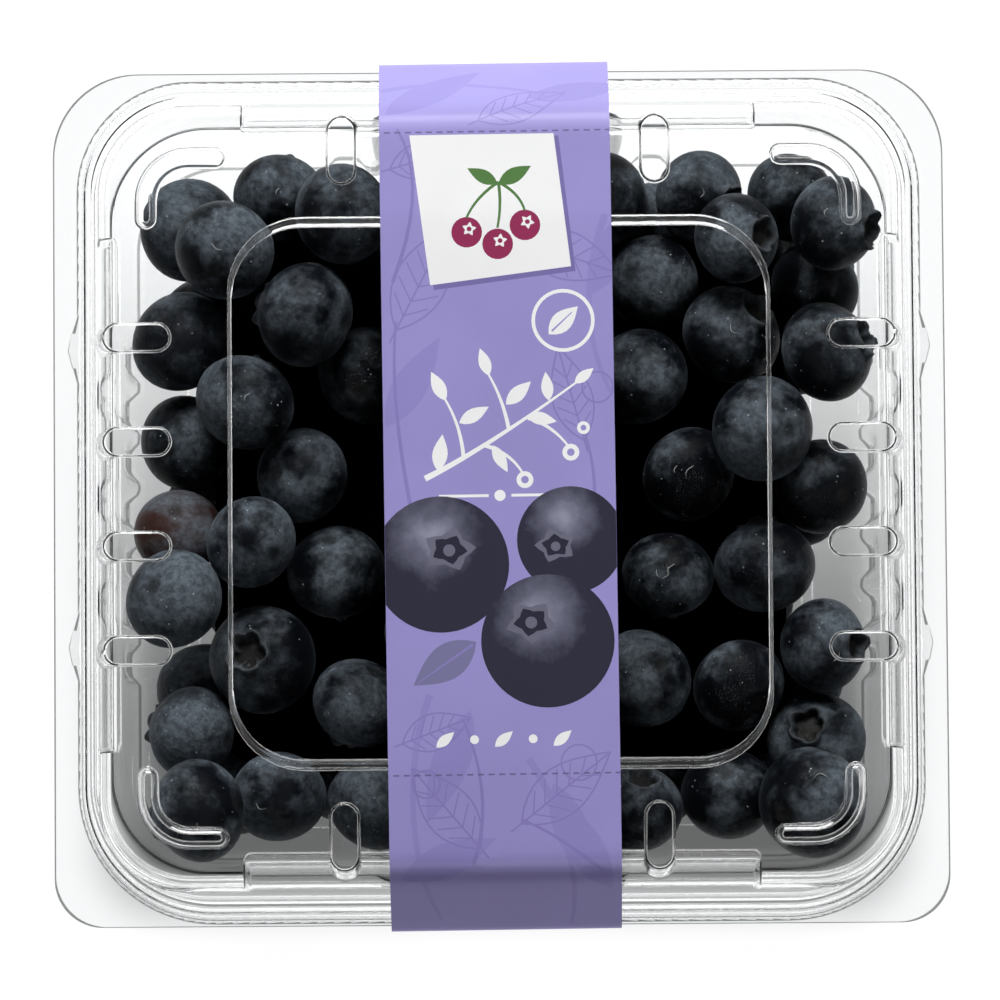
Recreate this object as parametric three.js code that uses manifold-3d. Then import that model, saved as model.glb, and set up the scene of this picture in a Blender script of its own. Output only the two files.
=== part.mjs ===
// A clear plastic punnet of blueberries, shut, with a paper band wrapped round it.
// Millimetres, +Z up. The origin is on the floor under the middle of the pack.
// +X is to the pack's right and +Y to its back, where the lid is hinged.

import * as THREE from 'three';
import { mergeVertices } from 'three/addons/utils/BufferGeometryUtils.js';
import Module from 'manifold-3d';

const wasm = await Module();
wasm.setup();

// Driving sizes
const FLANGE_X = 55.5;        // half the width over the tub's flange
const FLANGE_Y = 53.2;        // half the depth over the tub's flange
const FLANGE_TOP = 26.8;      // height of the flange where tub and lid meet
const PLATE_TOP = 35.2;       // height of the lid's flat top
const PANEL_TOP = 36.6;       // height of the raised panel in its middle
const SHEET = 0.5;            // thickness of the formed sheet
const GAP = 0.35;             // clearance between pieces that touch
const CORNER_STEPS = 5;       // facets round a quarter turn

const RIB_PITCH = 12.9;       // spacing of the short ribs along each side of the lid
const RIB_RISE = 0.8;         // how far a rib stands above the lid's top
const FLUTE_DEPTH = 1.0;      // how far a flute in the tub's wall bulges out at its top
const FLUTE_FOOT = 1.6;       // and at its foot
const FOOT_RISE = 1.5;        // height of the tub's raised floor above its foot
const NOTCH_RISE = 1.05;      // height of the gaps in the foot where the band passes
const NOTCH_X = 15.8;         // half the width of those gaps

const BAND_WIDTH = 28.5;
const BAND_THICKNESS = 0.35;
const BAND_TURN = THREE.MathUtils.degToRad(0.5);  // the band sits slightly askew

const FLOOR_TOP = SHEET + FOOT_RISE;
const BERRY_RADIUS = 6.3;     // a usual berry
const CORE_LOW = 6.5;
const CORE_HIGH = 16.5;
const CORE_X = 36;
const CORE_Y = 34;
const SETTLE_PASSES = 300;
const FALL = 0.02;            // how far a berry sinks in one pass
const HOME_PULL = 0.04;       // share of the way back to its seen place in one pass

const CLEAR = { color: 0xf2f5f4, roughness: 0.08, metalness: 0, transparent: true, opacity: 0.35 };
const PAPER = { color: 0x8f86c4, roughness: 0.45, metalness: 0 };
const BERRY = { color: 0x1f2634, roughness: 0.6, metalness: 0 };

// Booleans
function solid(geometry) {
  const plain = geometry.clone();
  plain.deleteAttribute('normal');
  plain.deleteAttribute('uv');
  const merged = mergeVertices(plain, 1e-4);
  return new wasm.Manifold(new wasm.Mesh({
    numProp: 3,
    vertProperties: new Float32Array(merged.attributes.position.array),
    triVerts: new Uint32Array(merged.index.array),
  }));
}

function namedMesh(name, body, look) {
  const { vertProperties, triVerts } = body.getMesh();
  const geometry = new THREE.BufferGeometry();
  geometry.setAttribute('position', new THREE.BufferAttribute(vertProperties, 3));
  geometry.setIndex(new THREE.BufferAttribute(triVerts, 1));
  geometry.computeVertexNormals();
  const mesh = new THREE.Mesh(geometry, new THREE.MeshStandardMaterial(look));
  mesh.name = name;
  return mesh;
}

// A closed body through rings of equally many points, each end shut by a fan
function loft(rings) {
  const count = rings[0].length;
  const positions = rings.flat(2);
  for (const end of [rings[0], rings.at(-1)]) {
    const middle = [0, 1, 2].map((k) => end.reduce((sum, p) => sum + p[k], 0) / count);
    positions.push(...middle);
  }
  const first = rings.length * count;
  const last = first + 1;
  const triangles = [];
  for (let i = 0; i < count; i++) {
    const next = (i + 1) % count;
    const top = (rings.length - 1) * count;
    triangles.push(first, next, i, last, top + i, top + next);
    for (let k = 0; k < rings.length - 1; k++) {
      const low = k * count;
      const high = low + count;
      triangles.push(low + i, low + next, high + next, low + i, high + next, high + i);
    }
  }
  const geometry = new THREE.BufferGeometry();
  geometry.setAttribute('position', new THREE.Float32BufferAttribute(positions, 3));
  geometry.setIndex(triangles);
  return solid(geometry);
}

// Formed sheets. A station is one level line of the sheet: a rectangle with rounded corners,
// { x, y } half its sides, r its corner radius, front the radius of its two front corners,
// back how far its middle lies behind the pack's, bulge how deep the flutes are there,
// and notch how far it is lifted over the band.
const FLUTES = [-RIB_PITCH, 0, RIB_PITCH];
const FLUTE_HALF = 2.2;
const FLUTE_FLAT = 1.2;
const FLUTE_POINTS = FLUTES.flatMap((c) => [c - FLUTE_HALF, c - FLUTE_FLAT, c + FLUTE_FLAT, c + FLUTE_HALF]);
const NOTCH_POINTS = [-NOTCH_X - 1.2, -NOTCH_X, NOTCH_X, NOTCH_X + 1.2];

function fluteAt(place) {
  return FLUTES.some((c) => Math.abs(place - c) < FLUTE_FLAT + 0.1) ? 1 : 0;
}

function ring(station, alongX, alongY) {
  const { x, y, r, z, front = r, back = 0, bulge = 0, notch = 0 } = station;
  const points = [];
  const corner = (signX, signY, radius, from) => {
    for (let i = 0; i <= CORNER_STEPS; i++) {
      const angle = from + (i / CORNER_STEPS) * (Math.PI / 2);
      const cornerX = signX * (x - radius) + radius * Math.cos(angle);
      const cornerY = back + signY * (y - radius) + radius * Math.sin(angle);
      points.push([cornerX, cornerY, z]);
    }
  };
  const sideAcross = (sign, places) => {
    for (const place of places) points.push([sign * (x + bulge * fluteAt(place)), place, z]);
  };
  const sideAlong = (sign, places) => {
    for (const place of places) {
      const lift = Math.abs(place) <= NOTCH_X + 0.1 ? notch : 0;
      points.push([place, back + sign * (y + bulge * fluteAt(place)), z + lift]);
    }
  };
  sideAcross(1, alongY);
  corner(1, 1, r, 0);
  sideAlong(1, alongX.toReversed());
  corner(-1, 1, r, Math.PI / 2);
  sideAcross(-1, alongY.toReversed());
  corner(-1, -1, front, Math.PI);
  sideAlong(-1, alongX);
  corner(1, -1, front, 1.5 * Math.PI);
  return points;
}

// The stations of a sheet's other skin, a thickness away below or outside
function otherSkin(stations, thickness) {
  const normal = (a, b) => {
    const run = b.x - a.x;
    const rise = b.z - a.z;
    const length = Math.hypot(run, rise);
    return [-rise / length, run / length];
  };
  return stations.map((station, i) => {
    const before = i > 0 ? normal(stations[i - 1], station) : [0, -1];
    const after = i < stations.length - 1 ? normal(station, stations[i + 1]) : [0, -1];
    const share = 1 + before[0] * after[0] + before[1] * after[1];
    const out = (thickness * (before[0] + after[0])) / share;
    const up = (thickness * (before[1] + after[1])) / share;
    const moved = { ...station, x: station.x + out, y: station.y + out, r: station.r + out, z: station.z + up };
    if (station.front !== undefined) moved.front = station.front + out;
    return moved;
  });
}

function sheet(stations, alongX, alongY) {
  const lower = otherSkin(stations, SHEET).toReversed();
  return loft([...lower, ...stations].map((station) => ring(station, alongX, alongY)));
}

// Tub: flange, bead, fluted wall, foot and raised floor, from the edge to the middle
const MOUTH = { x: 48.3, y: 46.4, r: 12, z: 26.2 };
const WALL_FOOT = { x: 46.1, y: 44.2, r: 10.8, z: FLOOR_TOP };

function makeTub() {
  const stations = [
    { x: FLANGE_X, y: FLANGE_Y, r: 10.5, front: 6, z: FLANGE_TOP },
    { x: 51.1, y: 50.6, r: 12.6, front: 15.4, z: FLANGE_TOP },
    { x: 50.7, y: 50.2, r: 12.3, front: 15.1, z: FLANGE_TOP + 0.9 },
    { x: 49.9, y: 48.4, r: 12.2, front: 14, z: FLANGE_TOP + 0.9 },
    { ...MOUTH, bulge: FLUTE_DEPTH },
    { ...WALL_FOOT, bulge: FLUTE_FOOT, notch: NOTCH_RISE * 0.5 },
    { x: 45.1, y: 43.4, r: 10.3, z: SHEET, bulge: FLUTE_FOOT * 0.6, notch: NOTCH_RISE },
    { x: 39.6, y: 40.0, r: 9.3, z: SHEET, notch: NOTCH_RISE },
    { x: 38.6, y: 39.0, r: 8.8, z: FLOOR_TOP },
  ];
  const alongX = [...FLUTE_POINTS, ...NOTCH_POINTS].toSorted((a, b) => a - b);
  return sheet(stations, alongX, FLUTE_POINTS);
}

// Lid
const PLATE_X = 46.9;
const PLATE_Y = 44.6;
const LEDGE_TOP = FLANGE_TOP + 2.0;
const LIP = { x: 52.5, y: 52.5, back: -0.4, z: FLANGE_TOP + GAP + SHEET };

// The body under the lid's top skin, or with inside set the one under its lower skin, ribs and all
function lidBody(inside) {
  const stations = [
    { ...LIP, r: 14, front: 17 },
    { ...LIP, x: LIP.x - 0.7, y: LIP.y - 0.7, r: 13.4, front: 16.3 },
    { x: 51.4, y: 51.4, r: 13.1, front: 15.9, z: LEDGE_TOP - 0.1, back: LIP.back },
    { x: 49.1, y: 47.4, r: 12, z: LEDGE_TOP },
    { x: 48.6, y: 46.6, r: 11.5, z: PLATE_TOP - 1.6 },
    { x: 47.3, y: 45.0, r: 10.5, z: PLATE_TOP - 0.1 },
    { x: PLATE_X, y: PLATE_Y, r: 10.2, z: PLATE_TOP },
    { x: 34.4, y: 34.9, r: 10.5, z: PLATE_TOP },
    { x: 33.4, y: 33.9, r: 9.8, z: PANEL_TOP },
  ];
  const skin = inside ? otherSkin(stations, SHEET).slice(1) : stations;
  const foot = { ...skin[0], z: LIP.z - (inside ? 2 : 1) * SHEET };
  const body = loft([foot, ...skin].map((station) => ring(station, [0], [0])));
  return body.add(lidRibs(inside ? SHEET : 0));
}

// One short rib with round ends, square to a side, as a body that tapers upwards.
// edge is how far the lid's top reaches on that side, and shrink makes the hollow under it.
function rib(edge, shrink) {
  const top = PLATE_TOP + RIB_RISE - shrink;
  const levels = [
    { z: LEDGE_TOP - SHEET / 2 - 1.5 * shrink, inner: edge - 5.6, outer: edge + 2.9, half: 2.3 },
    { z: PLATE_TOP - 1.2, inner: edge - 6.0, outer: edge + 2.2, half: 2.2 },
    { z: top, inner: edge - 6.6, outer: edge + 1.6, half: 1.85 },
  ];
  const steps = 4;
  return loft(levels.map(({ z, inner, outer, half }) => {
    const radius = half - shrink;
    const points = [];
    for (const [middle, from] of [[outer - half, -0.5], [inner + half, 0.5]]) {
      for (let i = 0; i <= steps; i++) {
        const angle = (from + i / steps) * Math.PI;
        points.push([middle + radius * Math.cos(angle), radius * Math.sin(angle), z]);
      }
    }
    return points;
  }));
}

// One corner rib in plan, an L with a round bend, drawn for the right back corner
const CORNER_RIB = { x: 44.8, y: 44.2, leg: 11, width: 3.0, bend: 5.5 };

function cornerRib(shrink) {
  const { x, y, leg, width, bend } = CORNER_RIB;
  const outX = x - shrink;
  const outY = y - shrink;
  const inX = x - width + shrink;
  const inY = y - width + shrink;
  const outer = bend - shrink;
  const inner = bend - width + shrink;
  const shape = new THREE.Shape();
  shape.moveTo(outX, y - leg + shrink);
  shape.lineTo(outX, outY - outer);
  shape.absarc(outX - outer, outY - outer, outer, 0, Math.PI / 2, false);
  shape.lineTo(x - leg + shrink, outY);
  shape.lineTo(x - leg + shrink, inY);
  shape.lineTo(inX - inner, inY);
  shape.absarc(inX - inner, inY - inner, inner, Math.PI / 2, 0, true);
  shape.lineTo(inX, y - leg + shrink);
  const depth = RIB_RISE + 1.5;
  const geometry = new THREE.ExtrudeGeometry(shape, { depth, bevelEnabled: false, curveSegments: 4 });
  geometry.translate(0, 0, PLATE_TOP + RIB_RISE + 0.2 - shrink - depth);
  return solid(geometry);
}

// A small bump that the lip carries on each side of the pack, where it snaps shut
function lipBump() {
  const half = 2.7;
  const shape = new THREE.Shape();
  shape.moveTo(-0.4, -half);
  shape.lineTo(0, -half);
  shape.quadraticCurveTo(1.8, 0, 0, half);
  shape.lineTo(-0.4, half);
  const geometry = new THREE.ExtrudeGeometry(shape, { depth: SHEET, bevelEnabled: false, curveSegments: 6 });
  geometry.translate(LIP.x, 0, LIP.z - SHEET);
  return solid(geometry);
}

function lidRibs(shrink) {
  const bodies = [];
  for (const side of [0, 1, 2, 3]) {
    const edge = side % 2 ? PLATE_Y : PLATE_X;
    for (const k of [-1.5, -0.5, 0.5, 1.5]) {
      bodies.push(rib(edge, shrink).translate([0, k * RIB_PITCH, 0]).rotate([0, 0, side * 90]));
    }
  }
  const right = cornerRib(shrink);
  const left = right.mirror([1, 0, 0]);
  bodies.push(right, left, right.rotate([0, 0, 180]), left.rotate([0, 0, 180]));
  return wasm.Manifold.union(bodies);
}

function makeLid() {
  const bumpPlace = 18.6;
  const bumps = [0, 180].flatMap((turn) => [-bumpPlace, bumpPlace].map((place) => (
    lipBump().translate([0, place, 0]).rotate([0, 0, turn])
  )));
  return lidBody(false).add(wasm.Manifold.union(bumps)).subtract(lidBody(true));
}

// Band: a closed strip of paper drawn tight over the pack, in the plane across the pack
function bandLoop(offset) {
  const half = [
    [33.9, PANEL_TOP],
    [46.6, PLATE_TOP + RIB_RISE],
    [FLANGE_Y + 0.9, FLANGE_TOP + 0.1],
    [46.2, NOTCH_RISE],
  ];
  const outline = [...half, ...half.toReversed().map(([y, z]) => [-y, z])];
  const count = outline.length;
  const edgeNormal = ([ay, az], [by, bz]) => {
    const length = Math.hypot(by - ay, bz - az);
    return [-(bz - az) / length, (by - ay) / length];
  };
  const moved = outline.map((point, i) => {
    const before = edgeNormal(outline[(i + count - 1) % count], point);
    const after = edgeNormal(point, outline[(i + 1) % count]);
    const share = 1 + before[0] * after[0] + before[1] * after[1];
    return [
      point[0] + (offset * (before[0] + after[0])) / share,
      point[1] + (offset * (before[1] + after[1])) / share,
    ];
  });
  const bend = 1.4 + offset;
  const steps = 3;
  return moved.flatMap((point, i) => {
    const towards = (other) => {
      const length = Math.hypot(other[0] - point[0], other[1] - point[1]);
      return new THREE.Vector2(...[0, 1].map((k) => point[k] + ((other[k] - point[k]) * bend) / length));
    };
    const enter = towards(moved[(i + count - 1) % count]);
    const leave = towards(moved[(i + 1) % count]);
    return new THREE.QuadraticBezierCurve(enter, new THREE.Vector2(...point), leave).getPoints(steps);
  });
}

function makeBand() {
  const outer = bandLoop(GAP + BAND_THICKNESS);
  const inner = bandLoop(GAP);
  const half = BAND_WIDTH / 2;
  const positions = outer.flatMap((out, i) => [
    [-half, out.x, out.y], [half, out.x, out.y], [half, inner[i].x, inner[i].y], [-half, inner[i].x, inner[i].y],
  ]);
  const sides = 4;
  const triangles = [];
  for (let i = 0; i < outer.length; i++) {
    const here = i * sides;
    const next = ((i + 1) % outer.length) * sides;
    for (let k = 0; k < sides; k++) {
      const after = (k + 1) % sides;
      triangles.push(here + k, next + after, next + k, here + k, here + after, next + after);
    }
  }
  const geometry = new THREE.BufferGeometry();
  geometry.setAttribute('position', new THREE.Float32BufferAttribute(positions.flat(), 3));
  geometry.setIndex(triangles);
  geometry.rotateZ(BAND_TURN);
  return solid(geometry);
}

// Berries that show from above: place, height of the middle, and radius
const SEEN = [
  [-39.1, 35.5, 17, 6.5], [-34.3, 31.1, 25, 6.3], [-26.2, 39.2, 20, 5.9], [-21.2, 36.1, 24, 6.3],
  [-41.5, 20.1, 24, 6.4], [-24.6, 23.3, 26, 6.6], [-32.4, 12.4, 20, 6.3], [-38.7, 6.8, 14, 6.0],
  [-39.9, -3.3, 14, 5.6], [-31.2, -5.1, 21, 5.8], [-20.6, -8.9, 24, 6.3], [-40.6, -11.8, 22, 6.2],
  [-30.2, -20.1, 25, 6.8], [-16.8, -25.4, 22, 6.0], [-38.1, -28.5, 19, 5.9], [-37.4, -38.2, 22, 6.4],
  [-26.6, -37.0, 18, 6.0], [-18.1, -38.2, 18, 6.0], [-16.8, 16.8, 19, 6.2], [-24.9, 3.0, 15, 6.0],
  [15.1, 39.2, 20, 5.9], [24.8, 38.6, 22, 5.9], [36.3, 38.0, 19, 5.8], [29.4, 32.4, 24, 5.6],
  [40.5, 34.9, 23, 6.0], [39.1, 26.8, 15, 5.8], [19.4, 27.4, 19, 6.0], [28.4, 20.5, 24, 6.4],
  [40.5, 18.6, 22, 6.3], [18.2, 15.5, 19, 6.2], [33.2, 8.0, 24, 6.6], [23.8, 3.0, 18, 6.1],
  [39.4, 1.1, 19, 6.0], [21.3, -9.5, 20, 5.8], [33.8, -8.9, 19, 6.4], [39.4, -18.9, 19, 5.9],
  [20.1, -22.6, 20, 6.2], [29.4, -22.6, 18, 5.9], [37.6, -30.1, 18, 6.2], [38.6, -37.6, 25, 7.0],
  [26.9, -37.0, 17, 5.9], [18.8, -38.9, 19, 5.9],
];

// The same small generator each time, so that the heap comes out alike
function randomFrom(seed) {
  let state = seed;
  return () => {
    state = (state * 1103515245 + 12345) % 2147483648;
    return state / 2147483648;
  };
}

function startingBerries() {
  const random = randomFrom(7);
  const berries = SEEN.map(([x, y, z, r]) => ({ x, y, z, r, home: [x, y], low: false }));
  const size = () => BERRY_RADIUS * (0.93 + 0.14 * random());
  // Two rows out of sight under the band
  const rowPitch = 12.6;
  for (let k = -3; k <= 3; k++) {
    for (const side of [-1, 1]) {
      berries.push({ x: side * 6.4, y: (k + side * 0.22) * rowPitch * 0.95, z: 21, r: size(), low: false });
    }
  }
  // The bottom layer, staggered
  const columnPitch = 12.7;
  for (let row = -3; row <= 3; row++) {
    const shift = row % 2 ? 0.5 : 0;
    for (let k = -3; k <= 3 - 2 * shift; k++) {
      const x = (k + shift) * columnPitch * 0.94;
      berries.push({ x: x + random() - 0.5, y: row * 11.3 + random() - 0.5, z: 8.5, r: size(), low: true });
    }
  }
  return berries;
}

// The heap narrows towards its foot, which lies clear of the wall
const HEAP_FOOT = { x: 42.6, y: 40.6, r: 9.5, z: FLOOR_TOP };

// Keeps a berry inside the heap's sides, off the tub's floor and off the lid
function keepInside(berry) {
  const climb = Math.min(1, Math.max(0, (berry.z - HEAP_FOOT.z) / (MOUTH.z - HEAP_FOOT.z)));
  const at = (key) => HEAP_FOOT[key] + climb * (MOUTH[key] - HEAP_FOOT[key]);
  const reach = berry.r * 1.03 + GAP;
  const bend = at('r');
  const acrossX = Math.abs(berry.x) - (at('x') - bend);
  const acrossY = Math.abs(berry.y) - (at('y') - bend);
  const room = bend - reach;
  if (acrossX > 0 && acrossY > 0) {
    const excess = Math.hypot(acrossX, acrossY) / room;
    if (excess > 1) {
      berry.x -= Math.sign(berry.x) * acrossX * (1 - 1 / excess);
      berry.y -= Math.sign(berry.y) * acrossY * (1 - 1 / excess);
    }
  } else {
    berry.x -= Math.sign(berry.x) * Math.max(0, acrossX - room);
    berry.y -= Math.sign(berry.y) * Math.max(0, acrossY - room);
  }
  berry.z = Math.min(PLATE_TOP - SHEET - GAP - berry.r, Math.max(FLOOR_TOP + GAP + berry.r, berry.z));
}

function settle(berries) {
  for (let pass = 0; pass < SETTLE_PASSES; pass++) {
    for (const berry of berries) {
      berry.z -= FALL;
      if (berry.home) {
        berry.x += HOME_PULL * (berry.home[0] - berry.x);
        berry.y += HOME_PULL * (berry.home[1] - berry.y);
      }
    }
    berries.forEach((a, i) => {
      for (const b of berries.slice(i + 1)) {
        const away = [a.x - b.x, a.y - b.y, a.z - b.z];
        const distance = Math.hypot(...away);
        const push = (a.r + b.r - distance) / (2 * distance);
        if (push <= 0) continue;
        a.x += away[0] * push;
        a.y += away[1] * push;
        a.z += away[2] * push;
        b.x -= away[0] * push;
        b.y -= away[1] * push;
        b.z -= away[2] * push;
      }
    });
    berries.forEach(keepInside);
  }
  return berries;
}

// A thin tie, hidden in the heap, from a berry's middle into the core
function tieToCore(berry) {
  const inwards = 0.82;
  const start = new THREE.Vector3(berry.x, berry.y, berry.z);
  const end = new THREE.Vector3(berry.x * inwards, berry.y * inwards, (CORE_LOW + CORE_HIGH) / 2);
  const along = end.clone().sub(start);
  const geometry = new THREE.CylinderGeometry(2.2, 2.2, along.length(), 3);
  const up = new THREE.Vector3(0, 1, 0);
  geometry.applyQuaternion(new THREE.Quaternion().setFromUnitVectors(up, along.clone().normalize()));
  geometry.translate(...start.add(end).multiplyScalar(0.5).toArray());
  return solid(geometry);
}

// The heap: a core with the berries fused on
function makeBerries() {
  const station = { x: CORE_X, y: CORE_Y, r: 8 };
  const bodies = [loft([CORE_LOW, CORE_HIGH].map((z) => ring({ ...station, z }, [0], [0])))];
  for (const berry of settle(startingBerries())) {
    const ball = new THREE.SphereGeometry(berry.r, ...(berry.home ? [8, 5] : [5, 4]));
    ball.rotateX(Math.PI / 2);
    ball.translate(berry.x, berry.y, berry.z);
    bodies.push(solid(ball));
    const sunk = berry.z - 0.7 * berry.r < CORE_HIGH && Math.abs(berry.x) < CORE_X && Math.abs(berry.y) < CORE_Y;
    if (!sunk) bodies.push(tieToCore(berry));
  }
  return wasm.Manifold.union(bodies);
}

const punnet = new THREE.Group();
punnet.add(namedMesh('tub', makeTub(), CLEAR));
punnet.add(namedMesh('lid', makeLid(), CLEAR));
punnet.add(namedMesh('band', makeBand(), PAPER));
punnet.add(namedMesh('berries', makeBerries(), BERRY));

export default punnet;
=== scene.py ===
import math

import bmesh
import bpy
import numpy as np
from mathutils import Matrix, Vector
from mathutils.geometry import delaunay_2d_cdt


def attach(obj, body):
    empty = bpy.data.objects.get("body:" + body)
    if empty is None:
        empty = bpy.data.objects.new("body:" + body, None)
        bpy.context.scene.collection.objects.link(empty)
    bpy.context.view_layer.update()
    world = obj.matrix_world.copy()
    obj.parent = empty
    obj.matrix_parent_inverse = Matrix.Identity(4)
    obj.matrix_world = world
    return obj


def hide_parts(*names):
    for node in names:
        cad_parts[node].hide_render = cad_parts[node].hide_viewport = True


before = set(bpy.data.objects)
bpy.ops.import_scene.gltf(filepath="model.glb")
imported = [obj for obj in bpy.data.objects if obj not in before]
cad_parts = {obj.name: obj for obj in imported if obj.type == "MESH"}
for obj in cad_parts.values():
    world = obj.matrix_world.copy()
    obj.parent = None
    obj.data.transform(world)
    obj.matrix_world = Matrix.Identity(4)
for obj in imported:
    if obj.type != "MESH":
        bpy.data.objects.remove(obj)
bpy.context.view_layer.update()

MM = 0.001

# Driving sizes, as in the CAD source
FLANGE_X = 55.5
FLANGE_Y = 53.2
FLANGE_TOP = 26.8
PLATE_TOP = 35.2
PANEL_TOP = 36.6
RIB_PITCH = 12.9
RIB_RISE = 0.8
RIB_PLACES = [k * RIB_PITCH for k in (-1.5, -0.5, 0.5, 1.5)]
FLUTES = (-RIB_PITCH, 0, RIB_PITCH)      # the tub has shallower ones at RIB_PLACES, near its foot
FLUTE_DEPTH = 1.0        # at the top of the wall
FLUTE_FOOT = 1.6
FLUTE_EDGE = (1.1, 2.8)  # a flute's side, off its middle
FLOOR_TOP = 2.0
NOTCH_RISE = 1.05
NOTCH_X = 15.8
NOTCH_EDGE = 1.4
GAP = 0.35
BAND_WIDTH = 28.5
BAND_TURN = 0.5          # degrees
BAND_SHARP = 60

CUT_EDGE = 0.17          # width of the trimmed edge of a formed sheet
TUB_SHEET = 0.32         # thickness of the formed sheets as they are shown
LID_SHEET = 0.25
PAPER_SHEET = 0.3

TINY = 1e-9
HALVINGS = 36            # steps that find a place along a section
BEND_SHARE = 0.48        # how much of a run a bend may take


# Meshes

def make_object(name, points, faces, slots=(), face_slots=None):
    """A mesh object from points in millimetres."""
    mesh = bpy.data.meshes.new(name)
    mesh.from_pydata((np.asarray(points, float) * MM).tolist(), [], [list(map(int, f)) for f in faces])
    for material in slots:
        mesh.materials.append(material)
    if face_slots is not None:
        mesh.polygons.foreach_set("material_index", np.asarray(face_slots, np.int32))
    mesh.polygons.foreach_set("use_smooth", np.ones(len(mesh.polygons), bool))
    mesh.update()
    obj = bpy.data.objects.new(name, mesh)
    bpy.context.scene.collection.objects.link(obj)
    return obj


def grid_faces(rows, columns, closed=True):
    """Quads over rows of points, each row a ring when closed."""
    around = columns if closed else columns - 1
    row, column = np.meshgrid(np.arange(rows - 1), np.arange(around), indexing="ij")
    after = (column + 1) % columns
    low, high = row * columns, (row + 1) * columns
    return np.stack([low + column, low + after, high + after, high + column], axis=-1).reshape(-1, 4)


def fan_faces(middle, first, columns, flipped=False):
    """Triangles from a middle point to a ring of points."""
    around = np.arange(columns)
    after = (around + 1) % columns
    pair = [first + after, first + around] if flipped else [first + around, first + after]
    return np.stack([np.full(columns, middle), *pair], 1)


def open_edges(triangles):
    """The edges that only one triangle has, in its direction."""
    sides = np.concatenate([triangles[:, [0, 1]], triangles[:, [1, 2]], triangles[:, [2, 0]]])
    known = {tuple(edge) for edge in sides.tolist()}
    return [(a, b) for a, b in known if (b, a) not in known]


def turn_by(degrees):
    """A matrix that turns rows of x, y anticlockwise."""
    cos, sin = math.cos(math.radians(degrees)), math.sin(math.radians(degrees))
    return np.array([[cos, sin], [-sin, cos]])


def turned(points, side):
    """Points turned by quarter turns, about the middle."""
    cos, sin = ((1, 0), (0, 1), (-1, 0), (0, -1))[side % 4]
    return np.stack([points[:, 0] * cos - points[:, 1] * sin, points[:, 0] * sin + points[:, 1] * cos], 1)


def add_attribute(obj, name, values):
    """A number for each vertex, which the material reads."""
    layer = obj.data.attributes.new(name, "FLOAT", "POINT")
    layer.data.foreach_set("value", np.asarray(values, np.float32))


def add_vectors(obj, name, values):
    """A vector for each vertex."""
    layer = obj.data.attributes.new(name, "FLOAT_VECTOR", "POINT")
    layer.data.foreach_set("vector", np.asarray(values, np.float32).ravel())


def smoothstep(low, high, value):
    """0 below low, 1 above high, with a soft way between."""
    share = np.clip((value - low) / (high - low), 0, 1)
    return share * share * (3 - 2 * share)


def smooth_max(a, b, soft):
    """The higher of two heights, with their meeting line rounded over about soft millimetres."""
    share = np.clip(0.5 + 0.5 * (a - b) / soft, 0, 1)
    return b + (a - b) * share + soft * share * (1 - share)


# Sections of formed sheets

class Section:
    """A line through stations, each an array of sizes, with a rounded bend at each inner one."""

    def __init__(self, stations, bends):
        stations = [np.asarray(s, float) for s in stations]
        enter = [None] * len(stations)
        leave = [None] * len(stations)
        for i, bend in enumerate(bends):
            here = stations[i]
            for other, ends in ((i - 1, enter), (i + 1, leave)):
                if 0 <= other < len(stations):
                    run = stations[other] - here
                    length = math.hypot(run[0], run[-1])
                    share = min(bend / length, BEND_SHARE) if 0 < i < len(stations) - 1 else 0
                    ends[i] = here + run * share
        self.pieces = []
        for i in range(len(stations) - 1):
            if i > 0 and bends[i] > 0:
                self.pieces.append((enter[i], stations[i], leave[i], True))
            start, end = leave[i], enter[i + 1]
            self.pieces.append((start, (start + end) / 2, end, False))
        self.controls = np.array([p[:3] for p in self.pieces])

    @property
    def end(self):
        return len(self.pieces)

    def at(self, t):
        t = np.clip(np.asarray(t, float), 0, self.end - TINY)
        piece = t.astype(int)
        f = (t - piece)[..., None]
        a, m, b = (self.controls[piece, k] for k in range(3))
        return (1 - f) ** 2 * a + 2 * f * (1 - f) * m + f ** 2 * b

    def samples(self, in_bend, spacing):
        """Places along the line: in_bend steps in a bend, and at most spacing apart on straight runs."""
        places = []
        for k, (start, _, end, bent) in enumerate(self.pieces):
            length = math.hypot(end[0] - start[0], end[-1] - start[-1])
            steps = in_bend if bent else max(1, math.ceil(length / spacing))
            places.extend(k + np.arange(steps) / steps)
        return np.array(places + [self.end - TINY])


def solve_inside(section, distance, points):
    """A section's sizes at each point, whose place along its shrinking outlines is found by halving."""
    low = np.zeros(len(points))
    high = np.full(len(points), section.end - TINY)
    for _ in range(HALVINGS):
        middle = (low + high) / 2
        outside = distance(points, section.at(middle)) > 0
        high = np.where(outside, middle, high)
        low = np.where(outside, low, middle)
    return section.at(low)


def station(x, y, r, z, front=None, back=0, bulge=0, between=0, notch=0):
    """Half sizes, corner radii behind and in front, shift back, both flutes' depths, notch, height."""
    return np.array([x, y, r, r if front is None else front, back, bulge, between, notch, z], float)


def swell(places, middles):
    """1 near each flute's middle, falling to 0 across its edge."""
    total = np.zeros_like(places)
    for middle in middles:
        total += 1 - smoothstep(*FLUTE_EDGE, np.abs(places - middle))
    return total


def ring_distance(points, sizes):
    """How far points lie outside a station's rounded rectangle."""
    x, y = np.abs(points[:, 0]), points[:, 1] - sizes[:, 4]
    radius = np.where(y < 0, sizes[:, 3], sizes[:, 2])
    over_x = x - (sizes[:, 0] - radius)
    over_y = np.abs(y) - (sizes[:, 1] - radius)
    outside = np.hypot(np.maximum(over_x, 0), np.maximum(over_y, 0))
    return outside + np.minimum(np.maximum(over_x, over_y), 0) - radius


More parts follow.
